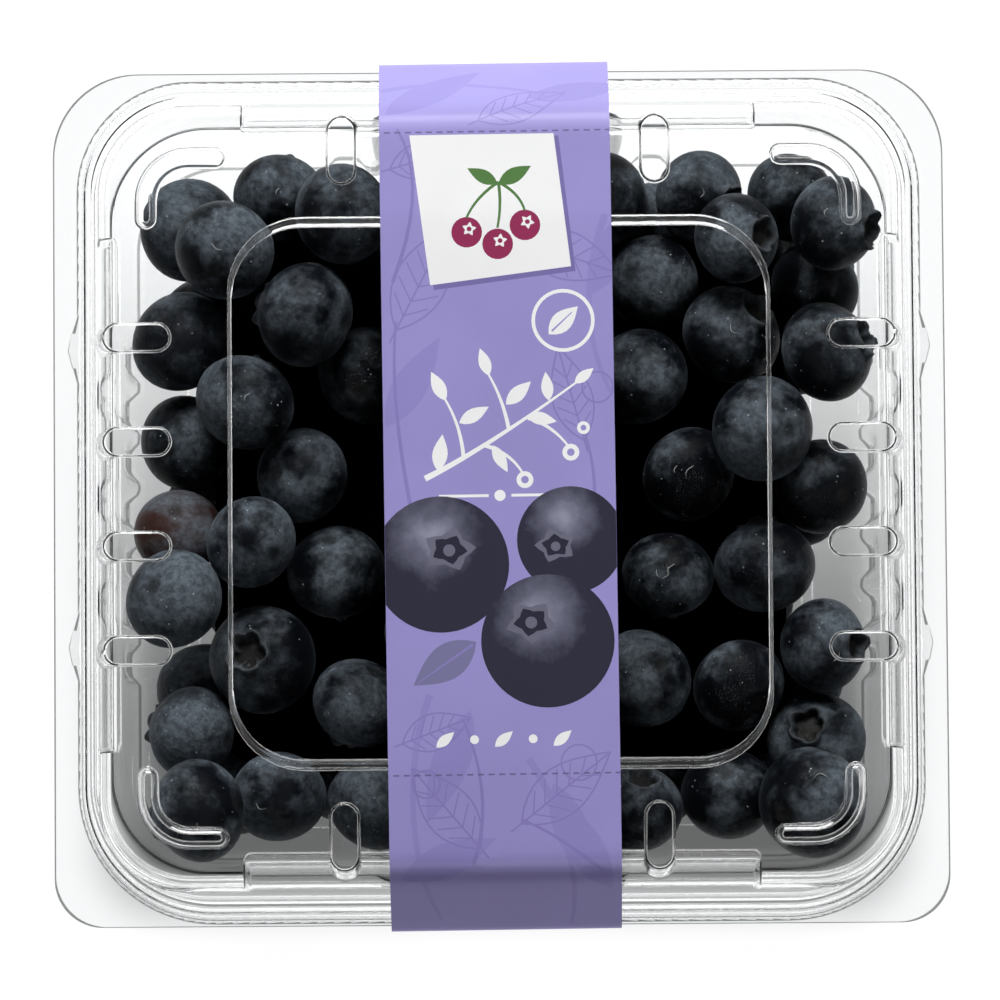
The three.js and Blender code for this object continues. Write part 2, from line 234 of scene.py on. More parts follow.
def ring_points(sizes, per_side, per_corner):
    """A station's outline, anticlockwise from the right side's front end."""
    x, y, back_radius, front_radius, back, bulge, between, notch, z = sizes
    share = np.arange(per_side) / per_side
    corner = np.arange(per_corner) / per_corner * (math.pi / 2)
    # Each side as its distance from the middle, half its length, and the corner radius before and after it
    sides = (
        (x, y, front_radius, back_radius),
        (y, x, back_radius, back_radius),
        (x, y, back_radius, front_radius),
        (y, x, front_radius, front_radius),
    )
    points = []
    for side, (reach, half, before, after) in enumerate(sides):
        along = before - half + (2 * half - before - after) * share
        flute = bulge * swell(along, FLUTES) + between * swell(along, RIB_PLACES)
        straight = np.stack([reach + flute, along], 1)
        arc = np.stack([reach - after + after * np.cos(corner), half - after + after * np.sin(corner)], 1)
        points.append(turned(np.concatenate([straight, arc]), side))
    flat = np.concatenate(points) + [0, back]
    heights = np.full(len(flat), z)
    if notch:
        across = np.abs(flat[:, 1]) > y * 0.9
        heights += notch * across * (1 - smoothstep(NOTCH_X, NOTCH_X + NOTCH_EDGE, np.abs(flat[:, 0])))
    return np.column_stack([flat, heights])


def grid_normals(grid):
    """Unit normals of a grid of points whose rows are closed rings."""
    along = np.roll(grid, -1, axis=1) - np.roll(grid, 1, axis=1)
    across = np.gradient(grid, axis=0)
    normals = np.cross(across, along)
    return normals / np.maximum(np.linalg.norm(normals, axis=-1, keepdims=True), TINY)

LOFT_ROWS = (5, 2.6)     # steps in a bend, and the spacing between bends
LOFT_COLUMNS = (112, 24)  # points along a side and round a corner
LOFT_SHARP = 50          # degrees


def loft_sheet(name, section, slots, thickness, painted_shade_zone):
    """A formed sheet through a section's rings, upper skin as given, lower skin a thickness away."""
    first_run = section.controls[0][0][0] - section.controls[0][2][0]
    places = np.insert(section.samples(*LOFT_ROWS), 1, CUT_EDGE / first_run)
    upper = np.array([ring_points(s, *LOFT_COLUMNS) for s in section.at(places)])
    normals = grid_normals(upper)
    if normals[-1, 0, 2] < 0:
        normals = -normals
    lower = upper - normals * thickness
    rows, columns = upper.shape[:2]
    loop = np.concatenate([lower[::-1], upper])
    points = loop.reshape(-1, 3)
    faces = list(grid_faces(len(loop), columns))
    faces.extend(fan_faces(len(points), 0, columns, flipped=True))
    faces.extend(fan_faces(len(points) + 1, (len(loop) - 1) * columns, columns))
    points = np.concatenate([points, [lower[-1].mean(0)], [upper[-1].mean(0)]])
    # The trimmed edge and the strips beside it have the second slot, the wall's lowest bend the third, a
    # dark tint of painted shade
    face_slots = np.zeros(len(faces), int)
    face_slots[(rows - 2) * columns:(rows + 1) * columns] = 1
    middles = np.array([points[f[:4]].mean(axis=0) for f in faces[:(len(loop) - 1) * columns]])
    low, high, reach = painted_shade_zone
    in_painted_shade = (middles[:, 2] > low) & (middles[:, 2] < high)
    at_wall = np.abs(middles[:, :2]).max(axis=1) > reach
    face_slots[:len(middles)][in_painted_shade & at_wall] = 2
    obj = make_object(name, points, faces, slots, face_slots)
    obj.data.set_sharp_from_angle(angle=math.radians(LOFT_SHARP))
    return obj


# Materials

def give(node, inputs):
    """Gives each named input a constant or another node's output."""
    for name, value in inputs.items():
        if isinstance(value, bpy.types.NodeSocket):
            node.id_data.links.new(value, node.inputs[name])
        else:
            node.inputs[name].default_value = value


def add_node(nodes, kind, inputs=None, **settings):
    """A new node with its settings and inputs."""
    node = nodes.new(kind)
    for name, value in settings.items():
        setattr(node, name, value)
    give(node, inputs or {})
    return node


def new_material(name, inputs=None):
    """A material with its nodes and its shader, whose inputs are given."""
    material = bpy.data.materials.new(name)
    material.use_nodes = True
    nodes = material.node_tree.nodes
    shader = nodes["Principled BSDF"]
    give(shader, inputs or {})
    return material, nodes, shader


def math_node(nodes, operation, *values):
    """The result of a sum on numbers or other nodes' outputs."""
    inputs = dict(enumerate(values))
    return add_node(nodes, "ShaderNodeMath", inputs, operation=operation).outputs["Value"]


def vector_math(nodes, operation, *values, output="Vector"):
    """The same for vectors."""
    inputs = dict(enumerate(values))
    return add_node(nodes, "ShaderNodeVectorMath", inputs, operation=operation).outputs[output]


def eased(nodes, value, start, end, low=0, high=1):
    """Goes softly from low to high while a value goes from start to end."""
    inputs = {"Value": value, "From Min": start, "From Max": end, "To Min": low, "To Max": high}
    return add_node(nodes, "ShaderNodeMapRange", inputs, interpolation_type="SMOOTHSTEP").outputs["Result"]


def color_ramp(nodes, share, stops):
    """The colour at a share along stops of a place and a colour."""
    ramp = add_node(nodes, "ShaderNodeValToRGB", {"Fac": share})
    elements = ramp.color_ramp.elements
    for element, (place, color) in zip(elements, (stops[0], stops[-1])):
        element.position = place
        element.color = (*color, 1)
    for place, color in stops[1:-1]:
        elements.new(place).color = (*color, 1)
    return ramp.outputs["Color"]


def clear_plastic(name, tint):
    """Clear formed sheet: real glass to the eye, nearly open to shadow rays, with faint ripples."""
    material, nodes, shader = new_material(name, {
        "Base Color": (*tint, 1), "Roughness": 0, "Transmission Weight": 1,
        "IOR": 1.5, "Specular IOR Level": 0.8,
    })
    place = add_node(nodes, "ShaderNodeTexCoord").outputs["Object"]
    ripple = add_node(nodes, "ShaderNodeTexNoise", {
        "Vector": place, "Scale": 90.0, "Detail": 1.0, "Roughness": 0.4,
    })
    bump = add_node(nodes, "ShaderNodeBump", {
        "Height": ripple.outputs["Fac"], "Strength": 0.05, "Distance": 0.0004,
    })
    give(shader, {"Normal": bump.outputs["Normal"]})
    open_side = add_node(nodes, "ShaderNodeBsdfTransparent", {"Color": (0.93, 0.94, 0.94, 1)})
    light = add_node(nodes, "ShaderNodeLightPath")
    mix = add_node(nodes, "ShaderNodeMixShader", {
        "Fac": light.outputs["Is Shadow Ray"], 1: shader.outputs["BSDF"], 2: open_side.outputs["BSDF"],
    })
    give(nodes["Material Output"], {"Surface": mix.outputs["Shader"]})
    return material


# The sheet's trimmed edge scatters a little light
CUT_EDGE_LOOK = new_material("cut_edge", {
    "Base Color": (0.36, 0.37, 0.37, 1), "Roughness": 0.5, "Transmission Weight": 0.4,
})[0]
TUB_CLEAR = clear_plastic("tub_clear", (0.97, 0.98, 0.985))
# Painted shade: a dark tint for the wall's lowest bend
BEND_PAINTED_SHADE = clear_plastic("tub_bend_painted_shade", (0.36, 0.37, 0.37))
LID_CLEAR = clear_plastic("lid_clear", (0.985, 0.99, 0.99))


# Tub
MOUTH = {"x": 48.3, "y": 46.4, "r": 12, "z": 26.2}
WALL_FOOT = {"x": 46.1, "y": 44.2, "r": 10.8, "z": FLOOR_TOP}

TUB_STATIONS = [
    station(FLANGE_X, FLANGE_Y, 10.5, FLANGE_TOP, front=6),
    station(51.1, 50.6, 12.6, FLANGE_TOP, front=15.4),
    station(50.7, 50.2, 12.3, FLANGE_TOP + 0.9, front=15.1),
    station(49.9, 48.4, 12.2, FLANGE_TOP + 0.9, front=14),
    station(**MOUTH, bulge=FLUTE_DEPTH),
    station(47.2, 45.3, 11.3, 14, bulge=1.3, between=0.2),
    station(**WALL_FOOT, bulge=FLUTE_FOOT, between=1.3, notch=NOTCH_RISE * 0.5),
    station(45.1, 43.4, 10.3, 0.45, bulge=FLUTE_FOOT * 0.6, between=0.8, notch=NOTCH_RISE),
    station(39.6, 40.0, 9.3, 0.45, notch=NOTCH_RISE),
    station(38.6, 39.0, 8.8, FLOOR_TOP),
    station(6.0, 6.0, 3, FLOOR_TOP),
]
TUB_BENDS = [0, 0.45, 0.3, 0.5, 0.9, 2.0, 0.5, 0.5, 0.5, 0.5, 0]
# Heights of the wall's lowest bend, tinted darker than the flat sheet as painted shade, and how far out it
# lies
FOOT_PAINTED_SHADE = (1.45, 2.5, 43)
tub = loft_sheet(
    "clear_tub", Section(TUB_STATIONS, TUB_BENDS),
    [TUB_CLEAR, CUT_EDGE_LOOK, BEND_PAINTED_SHADE], TUB_SHEET, FOOT_PAINTED_SHADE,
)


# Lid. Its height is a function of the place in plan, made of nested outlines
PLATE_X = 46.9
PLATE_Y = 44.6
LEDGE_TOP = FLANGE_TOP + 2.0
LIP_TOP = FLANGE_TOP + GAP + 0.5
LIP_X = 52.5
LIP_BACK = -0.4
RIDGE_RISE = 0.8         # the step from the plate up to the panel
GROOVE = LEDGE_TOP - 0.6  # bottom of the groove that runs round the ledge
BUMP_PLACE = 18.6
BUMP_HALF = 3.3
BUMP_DEPTH = 1.15
BUMP_FADE = (1, 1, 0.66, 0.33)       # how much of the bulge each outline from the lip inwards has
SIDE_FROM = 50           # past this x a point of the lip's outlines belongs to its left or right side

LID_STATIONS = [
    station(LIP_X, LIP_X, 14, LIP_TOP, front=17, back=LIP_BACK),
    station(LIP_X - 0.5, LIP_X - 0.5, 13.5, LIP_TOP, front=16.4, back=LIP_BACK),
    station(51.75, 51.75, 13.3, LEDGE_TOP - 0.1, front=16.1, back=LIP_BACK),
    station(51.4, 51.2, 13.1, LEDGE_TOP, front=15.6, back=LIP_BACK * 0.8),
    station(51.1, 50.8, 12.9, GROOVE, front=15.2, back=LIP_BACK * 0.7),
    station(50.6, 50.1, 12.6, GROOVE, front=14.6, back=LIP_BACK * 0.4),
    station(50.2, 49.5, 12.4, LEDGE_TOP, front=14.0, back=LIP_BACK * 0.2),
    station(49.4, 48.2, 12, LEDGE_TOP + 0.05),
    station(48.9, 46.9, 11.6, LEDGE_TOP + 0.9),
    station(47.7, 45.4, 10.8, PLATE_TOP - 0.6),
    station(PLATE_X, 44.3, 10.0, PLATE_TOP),
    station(33.45, 34.2, 9.4, PANEL_TOP - RIDGE_RISE, back=-0.05),
    station(33.32, 33.75, 9.2, PANEL_TOP - 0.55, back=-0.05),
    station(33.18, 33.4, 9.0, PANEL_TOP - 0.25, back=-0.05),
    station(33.0, 32.85, 8.7, PANEL_TOP, back=-0.05),
    station(28, 27, 5, PANEL_TOP),
]
LID_BENDS = [0, 0.25, 0.3, 0.2, 0.25, 0.25, 0.3, 0.5, 0.7, 0.6, 0.3, 0.12, 0.1, 0.1, 0.12, 0]
LID_SECTION = Section(LID_STATIONS, LID_BENDS)

# At its corners the lid's wall stands further out, as four pods with square ends
POD_END = 31.4
POD_STEP = 0.45
POD_STEP_LINES = (((47.2, 50.1), 1), ((44.2, 49.2), -1))     # from and to, across a side and across an end
POD_STATIONS = [
    station(49.95, 49.0, 11.4, LEDGE_TOP - 0.2),
    station(49.5, 48.4, 11.0, PLATE_TOP - 1.6),
    station(48.5, 47.4, 10.2, PLATE_TOP - 0.1),
    station(47.4, 46.0, 9.6, PLATE_TOP),
]
POD_SECTION = Section(POD_STATIONS, [0, 0.8, 0.5, 0])


# A short rib's outline runs from inner to outer, measured from the lid's middle, with round ends
RIB_LEVELS = [
    (-7.0, 3.5, 2.75, LEDGE_TOP - 0.6),
    (-6.75, 3.0, 2.25, LEDGE_TOP + 0.5),
    (-6.65, 2.4, 2.05, PLATE_TOP - 0.8),
    (-6.4, 2.0, 1.8, PLATE_TOP + RIB_RISE),
    (-5.0, 0.5, 0.35, PLATE_TOP + RIB_RISE),
]
RIB_BENDS = [0, 0.5, 0.6, 0.35, 0]


def rib_section(edge):
    """The section of a short rib whose plate ends at an edge."""
    levels = [(edge + outer, edge + inner, half, z) for inner, outer, half, z in RIB_LEVELS]
    return Section(levels, RIB_BENDS)


def rib_distance(points, sizes):
    """How far points lie outside a rib's outline."""
    outer, inner, half = sizes[:, 0], sizes[:, 1], sizes[:, 2]
    beyond = points[:, 0] - np.clip(points[:, 0], inner + half, outer - half)
    return np.hypot(beyond, points[:, 1]) - half


def rib_outline(sizes, per_end=12, per_side=5):
    """A rib's outline as points."""
    outer, inner, half = sizes[:3]
    angle = (np.arange(per_end + 1) / per_end - 0.5) * math.pi
    far = np.stack([outer - half + half * np.cos(angle), half * np.sin(angle)], 1)
    near = np.stack([inner + half - half * np.cos(angle), -half * np.sin(angle)], 1)
    between = np.linspace(0, 1, per_side + 1)[1:-1, None]
    back_side = far[-1] + (near[0] - far[-1]) * between
    front_side = near[-1] + (far[0] - near[-1]) * between
    return np.concatenate([far, back_side, near, front_side])


# A corner rib's outline lies at a distance from an L-shaped line with a round bend
CORNER_LINE = {"x": 43.5, "y": 42.4, "bend": 5.2, "end": 34.9}
CORNER_BACK = 0.8         # the two at the back lie so much nearer the middle
CORNER_TOP = PLATE_TOP + RIB_RISE + 0.35
CORNER_LEVELS = [
    (1.45, PLATE_TOP - 0.3),
    (1.1, PLATE_TOP + RIB_RISE),
    (0.45, CORNER_TOP),
    (0.1, CORNER_TOP),
]
CORNER_SECTION = Section(CORNER_LEVELS, [0, 0.4, 0.3, 0])


def corner_distance(points, sizes):
    """How far points lie outside a corner rib's outline."""
    x, y = np.abs(points[:, 0]), np.abs(points[:, 1] + CORNER_BACK * (points[:, 1] > 0))
    line = CORNER_LINE
    turn_x, turn_y = line["x"] - line["bend"], line["y"] - line["bend"]
    round_part = np.abs(np.hypot(x - turn_x, y - turn_y) - line["bend"])
    upright = np.hypot(x - line["x"], np.maximum(line["end"] - y, 0))
    level = np.hypot(y - line["y"], np.maximum(line["end"] - x, 0))
    in_turn = (x > turn_x) & (y > turn_y)
    return np.where(in_turn, round_part, np.minimum(upright, level)) - sizes[:, 0]


def corner_outline(half, steps=10, per_leg=4):
    """A corner rib's outline, half being half its width."""
    line = CORNER_LINE
    turn_x, turn_y = line["x"] - line["bend"], line["y"] - line["bend"]
    end = line["end"]
    angle = np.arange(steps + 1) / steps * (math.pi / 2)
    outer, inner = line["bend"] + half, line["bend"] - half
    across, beyond = half * np.cos(2 * angle)[1:-1], half * np.sin(2 * angle)[1:-1]

    def leg(start, finish):
        share = np.arange(per_leg)[:, None] / per_leg
        return np.array(start) + (np.array(finish) - np.array(start)) * share

    out_arc = np.stack([turn_x + outer * np.cos(angle), turn_y + outer * np.sin(angle)], 1)
    in_arc = np.stack([turn_x + inner * np.cos(angle), turn_y + inner * np.sin(angle)], 1)[::-1]
    return np.concatenate([
        leg((line["x"] + half, end), out_arc[0]), out_arc[:-1],
        leg(out_arc[-1], (end, line["y"] + half)),
        [(end, line["y"] + half)], np.stack([end - beyond, line["y"] + across], 1),
        leg((end, line["y"] - half), in_arc[0]), in_arc[:-1],
        leg(in_arc[-1], (line["x"] - half, end)),
        [(line["x"] - half, end)], np.stack([line["x"] - across, end - beyond], 1),
    ])


def rib_places():
    """Each short rib as the turn of its side, the plate's edge there and the rib's place along it."""
    for side in range(4):
        for place in RIB_PLACES:
            yield side, (PLATE_Y if side % 2 else PLATE_X), place


RIB_SOFT = 0.14
RIB_ROOM = (3, 7.2, 3.6)  # a rib lies within so much aside, inwards and outwards


def lid_height(points):
    """The lid's height over places in plan: its steps, pods, short ribs and corner ribs."""
    height = solve_inside(LID_SECTION, ring_distance, points)[:, -1]
    ends = np.abs(points).min(axis=1)
    near = (ends > POD_END - POD_STEP) & (height < PLATE_TOP - 0.01)
    pod = solve_inside(POD_SECTION, ring_distance, points[near])[:, -1]
    outside = ring_distance(points[near], POD_SECTION.at(np.zeros(near.sum()))) > 0
    share = smoothstep(POD_END - POD_STEP, POD_END + POD_STEP, ends[near]) * ~outside
    height[near] += share * np.maximum(0, pod - height[near])
    aside, inwards, outwards = RIB_ROOM
    for side, edge, place in rib_places():
        local = turned(points, -side) - [0, place]
        off = local[:, 0] - edge
        near = (np.abs(local[:, 1]) < aside) & (off > -inwards) & (off < outwards)
        if near.any():
            section = rib_section(edge)
            rib = solve_inside(section, rib_distance, local[near])
            inside = rib_distance(local[near], section.at(np.zeros(near.sum()))) < 0
            raised = np.where(inside, rib[:, -1], LEDGE_TOP - 3)
            height[near] = smooth_max(raised, height[near], RIB_SOFT)
    near = corner_distance(points, np.array([[CORNER_LEVELS[0][0]]])) < 0
    corner = solve_inside(CORNER_SECTION, corner_distance, points[near])
    height[near] = smooth_max(corner[:, -1], height[near], RIB_SOFT)
    return height


def lip_bulge(points):
    """How far in x the lip bulges out at its snap bumps."""
    x, y = points.T
    away = np.abs(np.abs(y) - BUMP_PLACE) / BUMP_HALF
    return np.sign(x) * (np.abs(x) > SIDE_FROM) * BUMP_DEPTH * np.maximum(0, 1 - away ** 2)


# Steps in a bend and the spacing between bends, then points along a side and round a corner
LID_ROWS = (5, 2.4)
POD_ROWS = (4, 2.0)
RIB_ROWS = (3, 1.6)
CORNER_ROWS = (3, 0.4)
LID_COLUMNS = (34, 20)
POD_COLUMNS = (60, 24)


def pod_lines():
    """The open lines round each corner pod."""
    for sizes in POD_SECTION.at(POD_SECTION.samples(*POD_ROWS)):
        ring = ring_points(sizes, *POD_COLUMNS)[:, :2]
        first = ring[(ring > 0).all(axis=1) & (ring.min(axis=1) > POD_END - POD_STEP)]
        yield first[np.argsort(np.arctan2(first[:, 1], first[:, 0]))]
    for share in (-1, -0.5, 0, 0.5, 1):
        end = POD_END + share * POD_STEP
        for (low, high), axis in POD_STEP_LINES:
            line = np.column_stack([np.linspace(low, high, 9), np.full(9, end)])
            yield line[:, ::axis]


def lid_contours():
    """Closed outlines in plan along which the lid's mesh has its edges."""
    contours = []
    places = LID_SECTION.samples(*LID_ROWS)
    places = np.insert(places, 1, CUT_EDGE / (LID_STATIONS[0][0] - LID_STATIONS[1][0]))
    for k, sizes in enumerate(LID_SECTION.at(places)):
        ring = ring_points(sizes, *LID_COLUMNS)[:, :2]
        if k < len(BUMP_FADE):
            ring[:, 0] += lip_bulge(ring) * BUMP_FADE[k]
        contours.append(ring)
    for side, edge, place in rib_places():
        section = rib_section(edge)
        for sizes in section.at(section.samples(*RIB_ROWS)):
            contours.append(turned(rib_outline(sizes) + [0, place], side))
    for half in CORNER_SECTION.at(CORNER_SECTION.samples(*CORNER_ROWS))[:, 0]:
        outline = corner_outline(half)
        for sign_x in (1, -1):
            for sign_y in (1, -1):
                contours.append(outline * [sign_x, sign_y] - [0, CORNER_BACK * (sign_y > 0)])
    return contours


SAME_PLACE = 1e-4        # points of a flat outline that lie closer are one
JUST_INSIDE = 1e-3
SLOPE_STEP = 0.01


def triangulated(lines):
    """The flat points and the triangles between lines, each an array of points and whether it is closed."""
    points, edges = [], []
    for line, closed in lines:
        first, count = len(points), len(line)
        points.extend(Vector(p) for p in np.asarray(line).tolist())
        edges.extend((first + i, first + (i + 1) % count) for i in range(count if closed else count - 1))
    found = delaunay_2d_cdt(points, edges, [], 0, SAME_PLACE)
    return np.array([tuple(p) for p in found[0]]), np.array(found[2])


def sheet_over_plan(name, contours, open_lines, height, thickness, slots):
    """A formed sheet whose upper skin is a height over the plan, triangulated between its lines."""
    corners = ((1, 1), (-1, 1), (-1, -1), (1, -1))
    lines = [(line * signs, False) for line in open_lines for signs in corners]
    plan, triangles = triangulated(lines + [(contour, True) for contour in contours])
    middles = plan[triangles].mean(axis=1)
    outer = LID_SECTION.at(np.zeros(1))
    middles[:, 0] -= lip_bulge(middles)
    away = ring_distance(middles, np.repeat(outer, len(middles), 0))
    within = away < -JUST_INSIDE
    at_edge = away[within] > -CUT_EDGE
    triangles = triangles[within]

    steps = ([SLOPE_STEP, 0], [0, SLOPE_STEP])
    slope = [(height(plan + step) - height(plan - step)) / (2 * SLOPE_STEP) for step in steps]
    normals = np.column_stack([-slope[0], -slope[1], np.ones(len(plan))])
    normals /= np.linalg.norm(normals, axis=1, keepdims=True)
    upper = np.column_stack([plan, height(plan)])
    lower = upper - normals * thickness
    count = len(plan)
    rim = open_edges(triangles)
    faces = triangles.tolist()
    faces += (triangles[:, [0, 2, 1]] + count).tolist()
    faces += [(b, a, a + count, b + count) for a, b in rim]
    face_slots = np.concatenate([at_edge, at_edge, np.ones(len(rim))])
    obj = make_object(name, np.concatenate([upper, lower]), faces, slots, face_slots)
    both = np.concatenate([normals, -normals])
    corner_points = np.empty(len(obj.data.loops), np.int32)
    obj.data.loops.foreach_get("vertex_index", corner_points)
    corner_normals = both[corner_points]
    first_rim = 2 * len(triangles) * 3
    for i in range(first_rim, len(corner_points), 4):
        a, b = (obj.data.vertices[corner_points[i + k]].co for k in (0, 1))
        out = Vector((b.y - a.y, a.x - b.x, 0)).normalized()
        corner_normals[i:i + 4] = -np.array(out)
    obj.data.normals_split_custom_set(corner_normals.tolist())
    return obj


lid = sheet_over_plan(
    "clear_lid", lid_contours(), pod_lines(), lid_height, LID_SHEET, [LID_CLEAR, CUT_EDGE_LOOK]
)


# Band: a strip of paper drawn tight over the pack. u runs across it, and v round it from the top's middle

BAND_CORNERS = [
    (33.9, PANEL_TOP),
    (46.6, PLATE_TOP + RIB_RISE),
    (FLANGE_Y + 0.6, FLANGE_TOP + 0.1),
    (46.2, NOTCH_RISE),
]
BAND_FRONT = 0.5          # the fold at the front lies closer in than the one at the back
BAND_CLEAR = 0.33        # clearance under the paper
BAND_FOLDS = [1.1, 2.6, 1.1, 1.1]    # how far each fold's bend reaches either way


def band_line(offset, steps=6):
    """The closed line of the band in the plane across the pack, moved outwards, as (y, z) points."""
    front = [(-y + BAND_FRONT * (y > FLANGE_Y), z) for y, z in BAND_CORNERS[::-1]]
    corners = np.array(BAND_CORNERS + front)
    edges = np.roll(corners, -1, axis=0) - corners
    normals = np.stack([-edges[:, 1], edges[:, 0]], 1) / np.linalg.norm(edges, axis=1, keepdims=True)
    before = np.roll(normals, 1, axis=0)
    share = 1 + (before * normals).sum(1, keepdims=True)
    moved = corners + offset * (before + normals) / share
    line = []
    for i, (corner, fold) in enumerate(zip(moved, BAND_FOLDS + BAND_FOLDS[::-1])):
        previous, following = moved[i - 1], moved[(i + 1) % len(moved)]
        enter = corner + (previous - corner) * fold / np.linalg.norm(previous - corner)
        leave = corner + (following - corner) * fold / np.linalg.norm(following - corner)
        for f in np.linspace(0, 1, steps + 1):
            line.append((1 - f) ** 2 * enter + 2 * f * (1 - f) * corner + f ** 2 * leave)
    return np.array(line)


class BandPath:
    """Maps u, v on the flat strip to places on the pack."""

    def __init__(self, offset):
        line = band_line(offset)
        closed = np.concatenate([line, line[:1]])
        lengths = np.concatenate([[0], np.cumsum(np.linalg.norm(np.diff(closed, axis=0), axis=1))])
        self.length = lengths[-1]
        # The first corner lies behind the top's middle, and the last run crosses it
        middle = self.length - closed[0, 0]
        self.marks = lengths - middle
        self.yz = closed

    def at(self, v):
        v = np.where(v < self.marks[0], v + self.length, v)
        v = np.where(v > self.marks[-1], v - self.length, v)
        return np.interp(v, self.marks, self.yz[:, 0]), np.interp(v, self.marks, self.yz[:, 1])

    def folds(self):
        """Every v at which the mapped line has a point, from -length / 2 to length / 2."""
        v = np.concatenate([self.marks, self.marks + self.length, self.marks - self.length])
        return np.unique(np.round(v[np.abs(v) < self.length / 2], 4))


# Shapes of the print, each a closed outline in u, v

def stroke(points, start_width, end_width=None, samples=10):
    """A brush stroke along a smooth curve through its control points."""
    points = np.array(points, float)
    end_width = start_width if end_width is None else end_width
    t = np.linspace(0, 1, samples)
    if len(points) == 2:
        curve = points[0] + np.outer(t, points[1] - points[0])
    else:
        first, middle, last = points
        curve = np.outer((1 - t) ** 2, first) + np.outer(2 * t * (1 - t), middle) + np.outer(t ** 2, last)
    direction = np.gradient(curve, axis=0)
    length = np.linalg.norm(direction, axis=1, keepdims=True)
    side = np.stack([-direction[:, 1], direction[:, 0]], 1) / length
    half = (start_width + (end_width - start_width) * t)[:, None] / 2
    return np.concatenate([curve + side * half, (curve - side * half)[::-1]])


def disc(u, v, radius, count=28):
    """A round shape."""
    angle = np.arange(count) / count * 2 * math.pi
    return np.stack([u + radius * np.cos(angle), v + radius * np.sin(angle)], 1)


def leaf(u, v, length, width, turn, samples=9):
    """A pointed leaf from its stalk, turned anticlockwise by so many degrees from pointing right."""
    t = np.linspace(0, 1, samples)
    half = width / 2 * np.sin(math.pi * t ** 0.85)
    upper = np.stack([t * length, half], 1)
    lower = np.stack([t * length, -half], 1)[::-1][1:-1]
    return np.concatenate([upper, lower]) @ turn_by(turn) + [u, v]


def star(u, v, outer, inner, turn, lobes=5, squash=1.0):
    """A star with soft points."""
    angle = np.arange(lobes * 4) / (lobes * 4) * 2 * math.pi
    radius = inner + (outer - inner) * (0.5 + 0.5 * np.cos(lobes * angle)) ** 1.4
    return np.stack([u + radius * np.cos(angle + turn), v + squash * radius * np.sin(angle + turn)], 1)


def outline_strokes(outline, width):
    """A thin stroke along each edge of a closed outline."""
    return [stroke(pair, width, samples=2) for pair in zip(outline, np.roll(outline, -1, axis=0))]


def leaf_lines(u, v, length, width, turn, line=0.22, veins=5):
    """A leaf drawn in thin lines: its outline, its midrib and slanting veins."""
    shapes = outline_strokes(leaf(u, v, length, width, turn, samples=11), line)

    def place(along, across):
        return np.array([along * length, across]) @ turn_by(turn) + [u, v]

    shapes.append(stroke([place(-0.12, 0), place(0.97, 0)], line, samples=2))
    for k in range(1, veins + 1):
        along = k / (veins + 1) * 0.8
        reach = width / 2 * math.sin(math.pi * (along + 0.12) ** 0.85) * 0.85
        for side in (-1, 1):
            vein = [place(along, 0), place(along + 0.14, side * reach)]
            shapes.append(stroke(vein, line * 0.8, samples=2))
    return shapes


# Printed berries: middle u, v, radius, and how far off its middle and which way its crown lies
PRINTED_BERRIES = [(8.6, -6.2, 6.6, 0.30, 200), (-7.4, -9.0, 8.4, 0.25, 60), (5.6, -18.6, 8.2, 0.38, 130)]
CROWN_SQUASH = 0.82

# Leaves of the print as u, v, length, width and turn, stems as three control points, rings as u, v, radius
SOFT_LEAVES = [
    (-13.5, 47, 15, 4.6, 38), (4, 50, 13, 4.2, 12), (11.5, 24, 14, 4.4, 62), (-14, 8, 13, 4.2, 58),
    (-4, -27, 15, 4.6, -112), (6, -36, 13, 4.2, -70), (-13, -48, 13, 4.4, 24), (13, -50, 14, 4.4, 118),
]
SOFT_STEMS = [
    ((-14, 52), (-6, 55), (6, 51)), ((13.5, 34), (9, 22), (13.8, 12)),
    ((-9, -25), (-14, -38), (-8, -56)), ((3, -33), (10, -44), (8, -57)),
]
LINE_LEAVES = [
    (-12.5, 20, 15, 6.5, 62), (3, 31, 13, 6, -20), (10.5, 6, 12, 5, 105), (-13, 40, 9, 4.5, 15),
    (-3, -44, 13, 6, 130), (2, -41, 14, 6, 38), (-12.5, -31, 9, 4.5, 20), (-2, 46, 12, 5, 25),
]
LINE_STEMS = [
    ((-11, -2), (-13.5, 12), (-12.5, 21)), ((-4, -46), (-1, -38), (-5, -28)),
    ((11, -6), (12.5, 1), (10.5, 7)), ((12, -47), (6, -42), (2, -40.5)),
    ((-12.8, 26), (-8, 38), (-12, 45)),
]
LINE_RINGS = [(12.2, 12.6, 1.9), (-9.6, -36, 1.7), (9.2, -33.6, 2.2)]
CARD = [(-10.5, 44.2), (7.3, 44.2), (9.2, 27.6), (-8.2, 25.5)]
CARD_SHADOW = [(-10.0, 43.9), (7.9, 43.9), (9.75, 27.0), (-7.75, 24.9)]
CARD_BERRIES = [(-3.6, 32.0, 1.9), (0.2, 30.5, 1.9), (3.6, 32.8, 1.9)]
CARD_STALKS = [
    ((-3.6, 33.8), (-2.4, 36.4), (0.4, 38.2)), ((0.2, 32.5), (0.8, 35.4), (0.4, 38.2)),
    ((3.6, 34.6), (3.0, 36.8), (0.4, 38.2)),
]
CARD_LEAVES = [(0.4, 38.0, 4.6, 1.9, 28), (0.3, 38.0, 4.2, 1.7, 152)]
SPRIG_STEM = ((-9.2, 1.6), (-2.0, 5.0), (9.6, 13.2))
SPRIG_TWIGS = [
    ((-4.4, 3.9), (-4.6, 8.0), (-6.6, 11.4)), ((1.2, 7.6), (0.6, 11.2), (-1.2, 14.4)),
    ((3.6, 8.9), (6.6, 8.0), (8.6, 5.2)), ((-1.8, 5.6), (1.6, 4.6), (3.0, 1.8)),
]
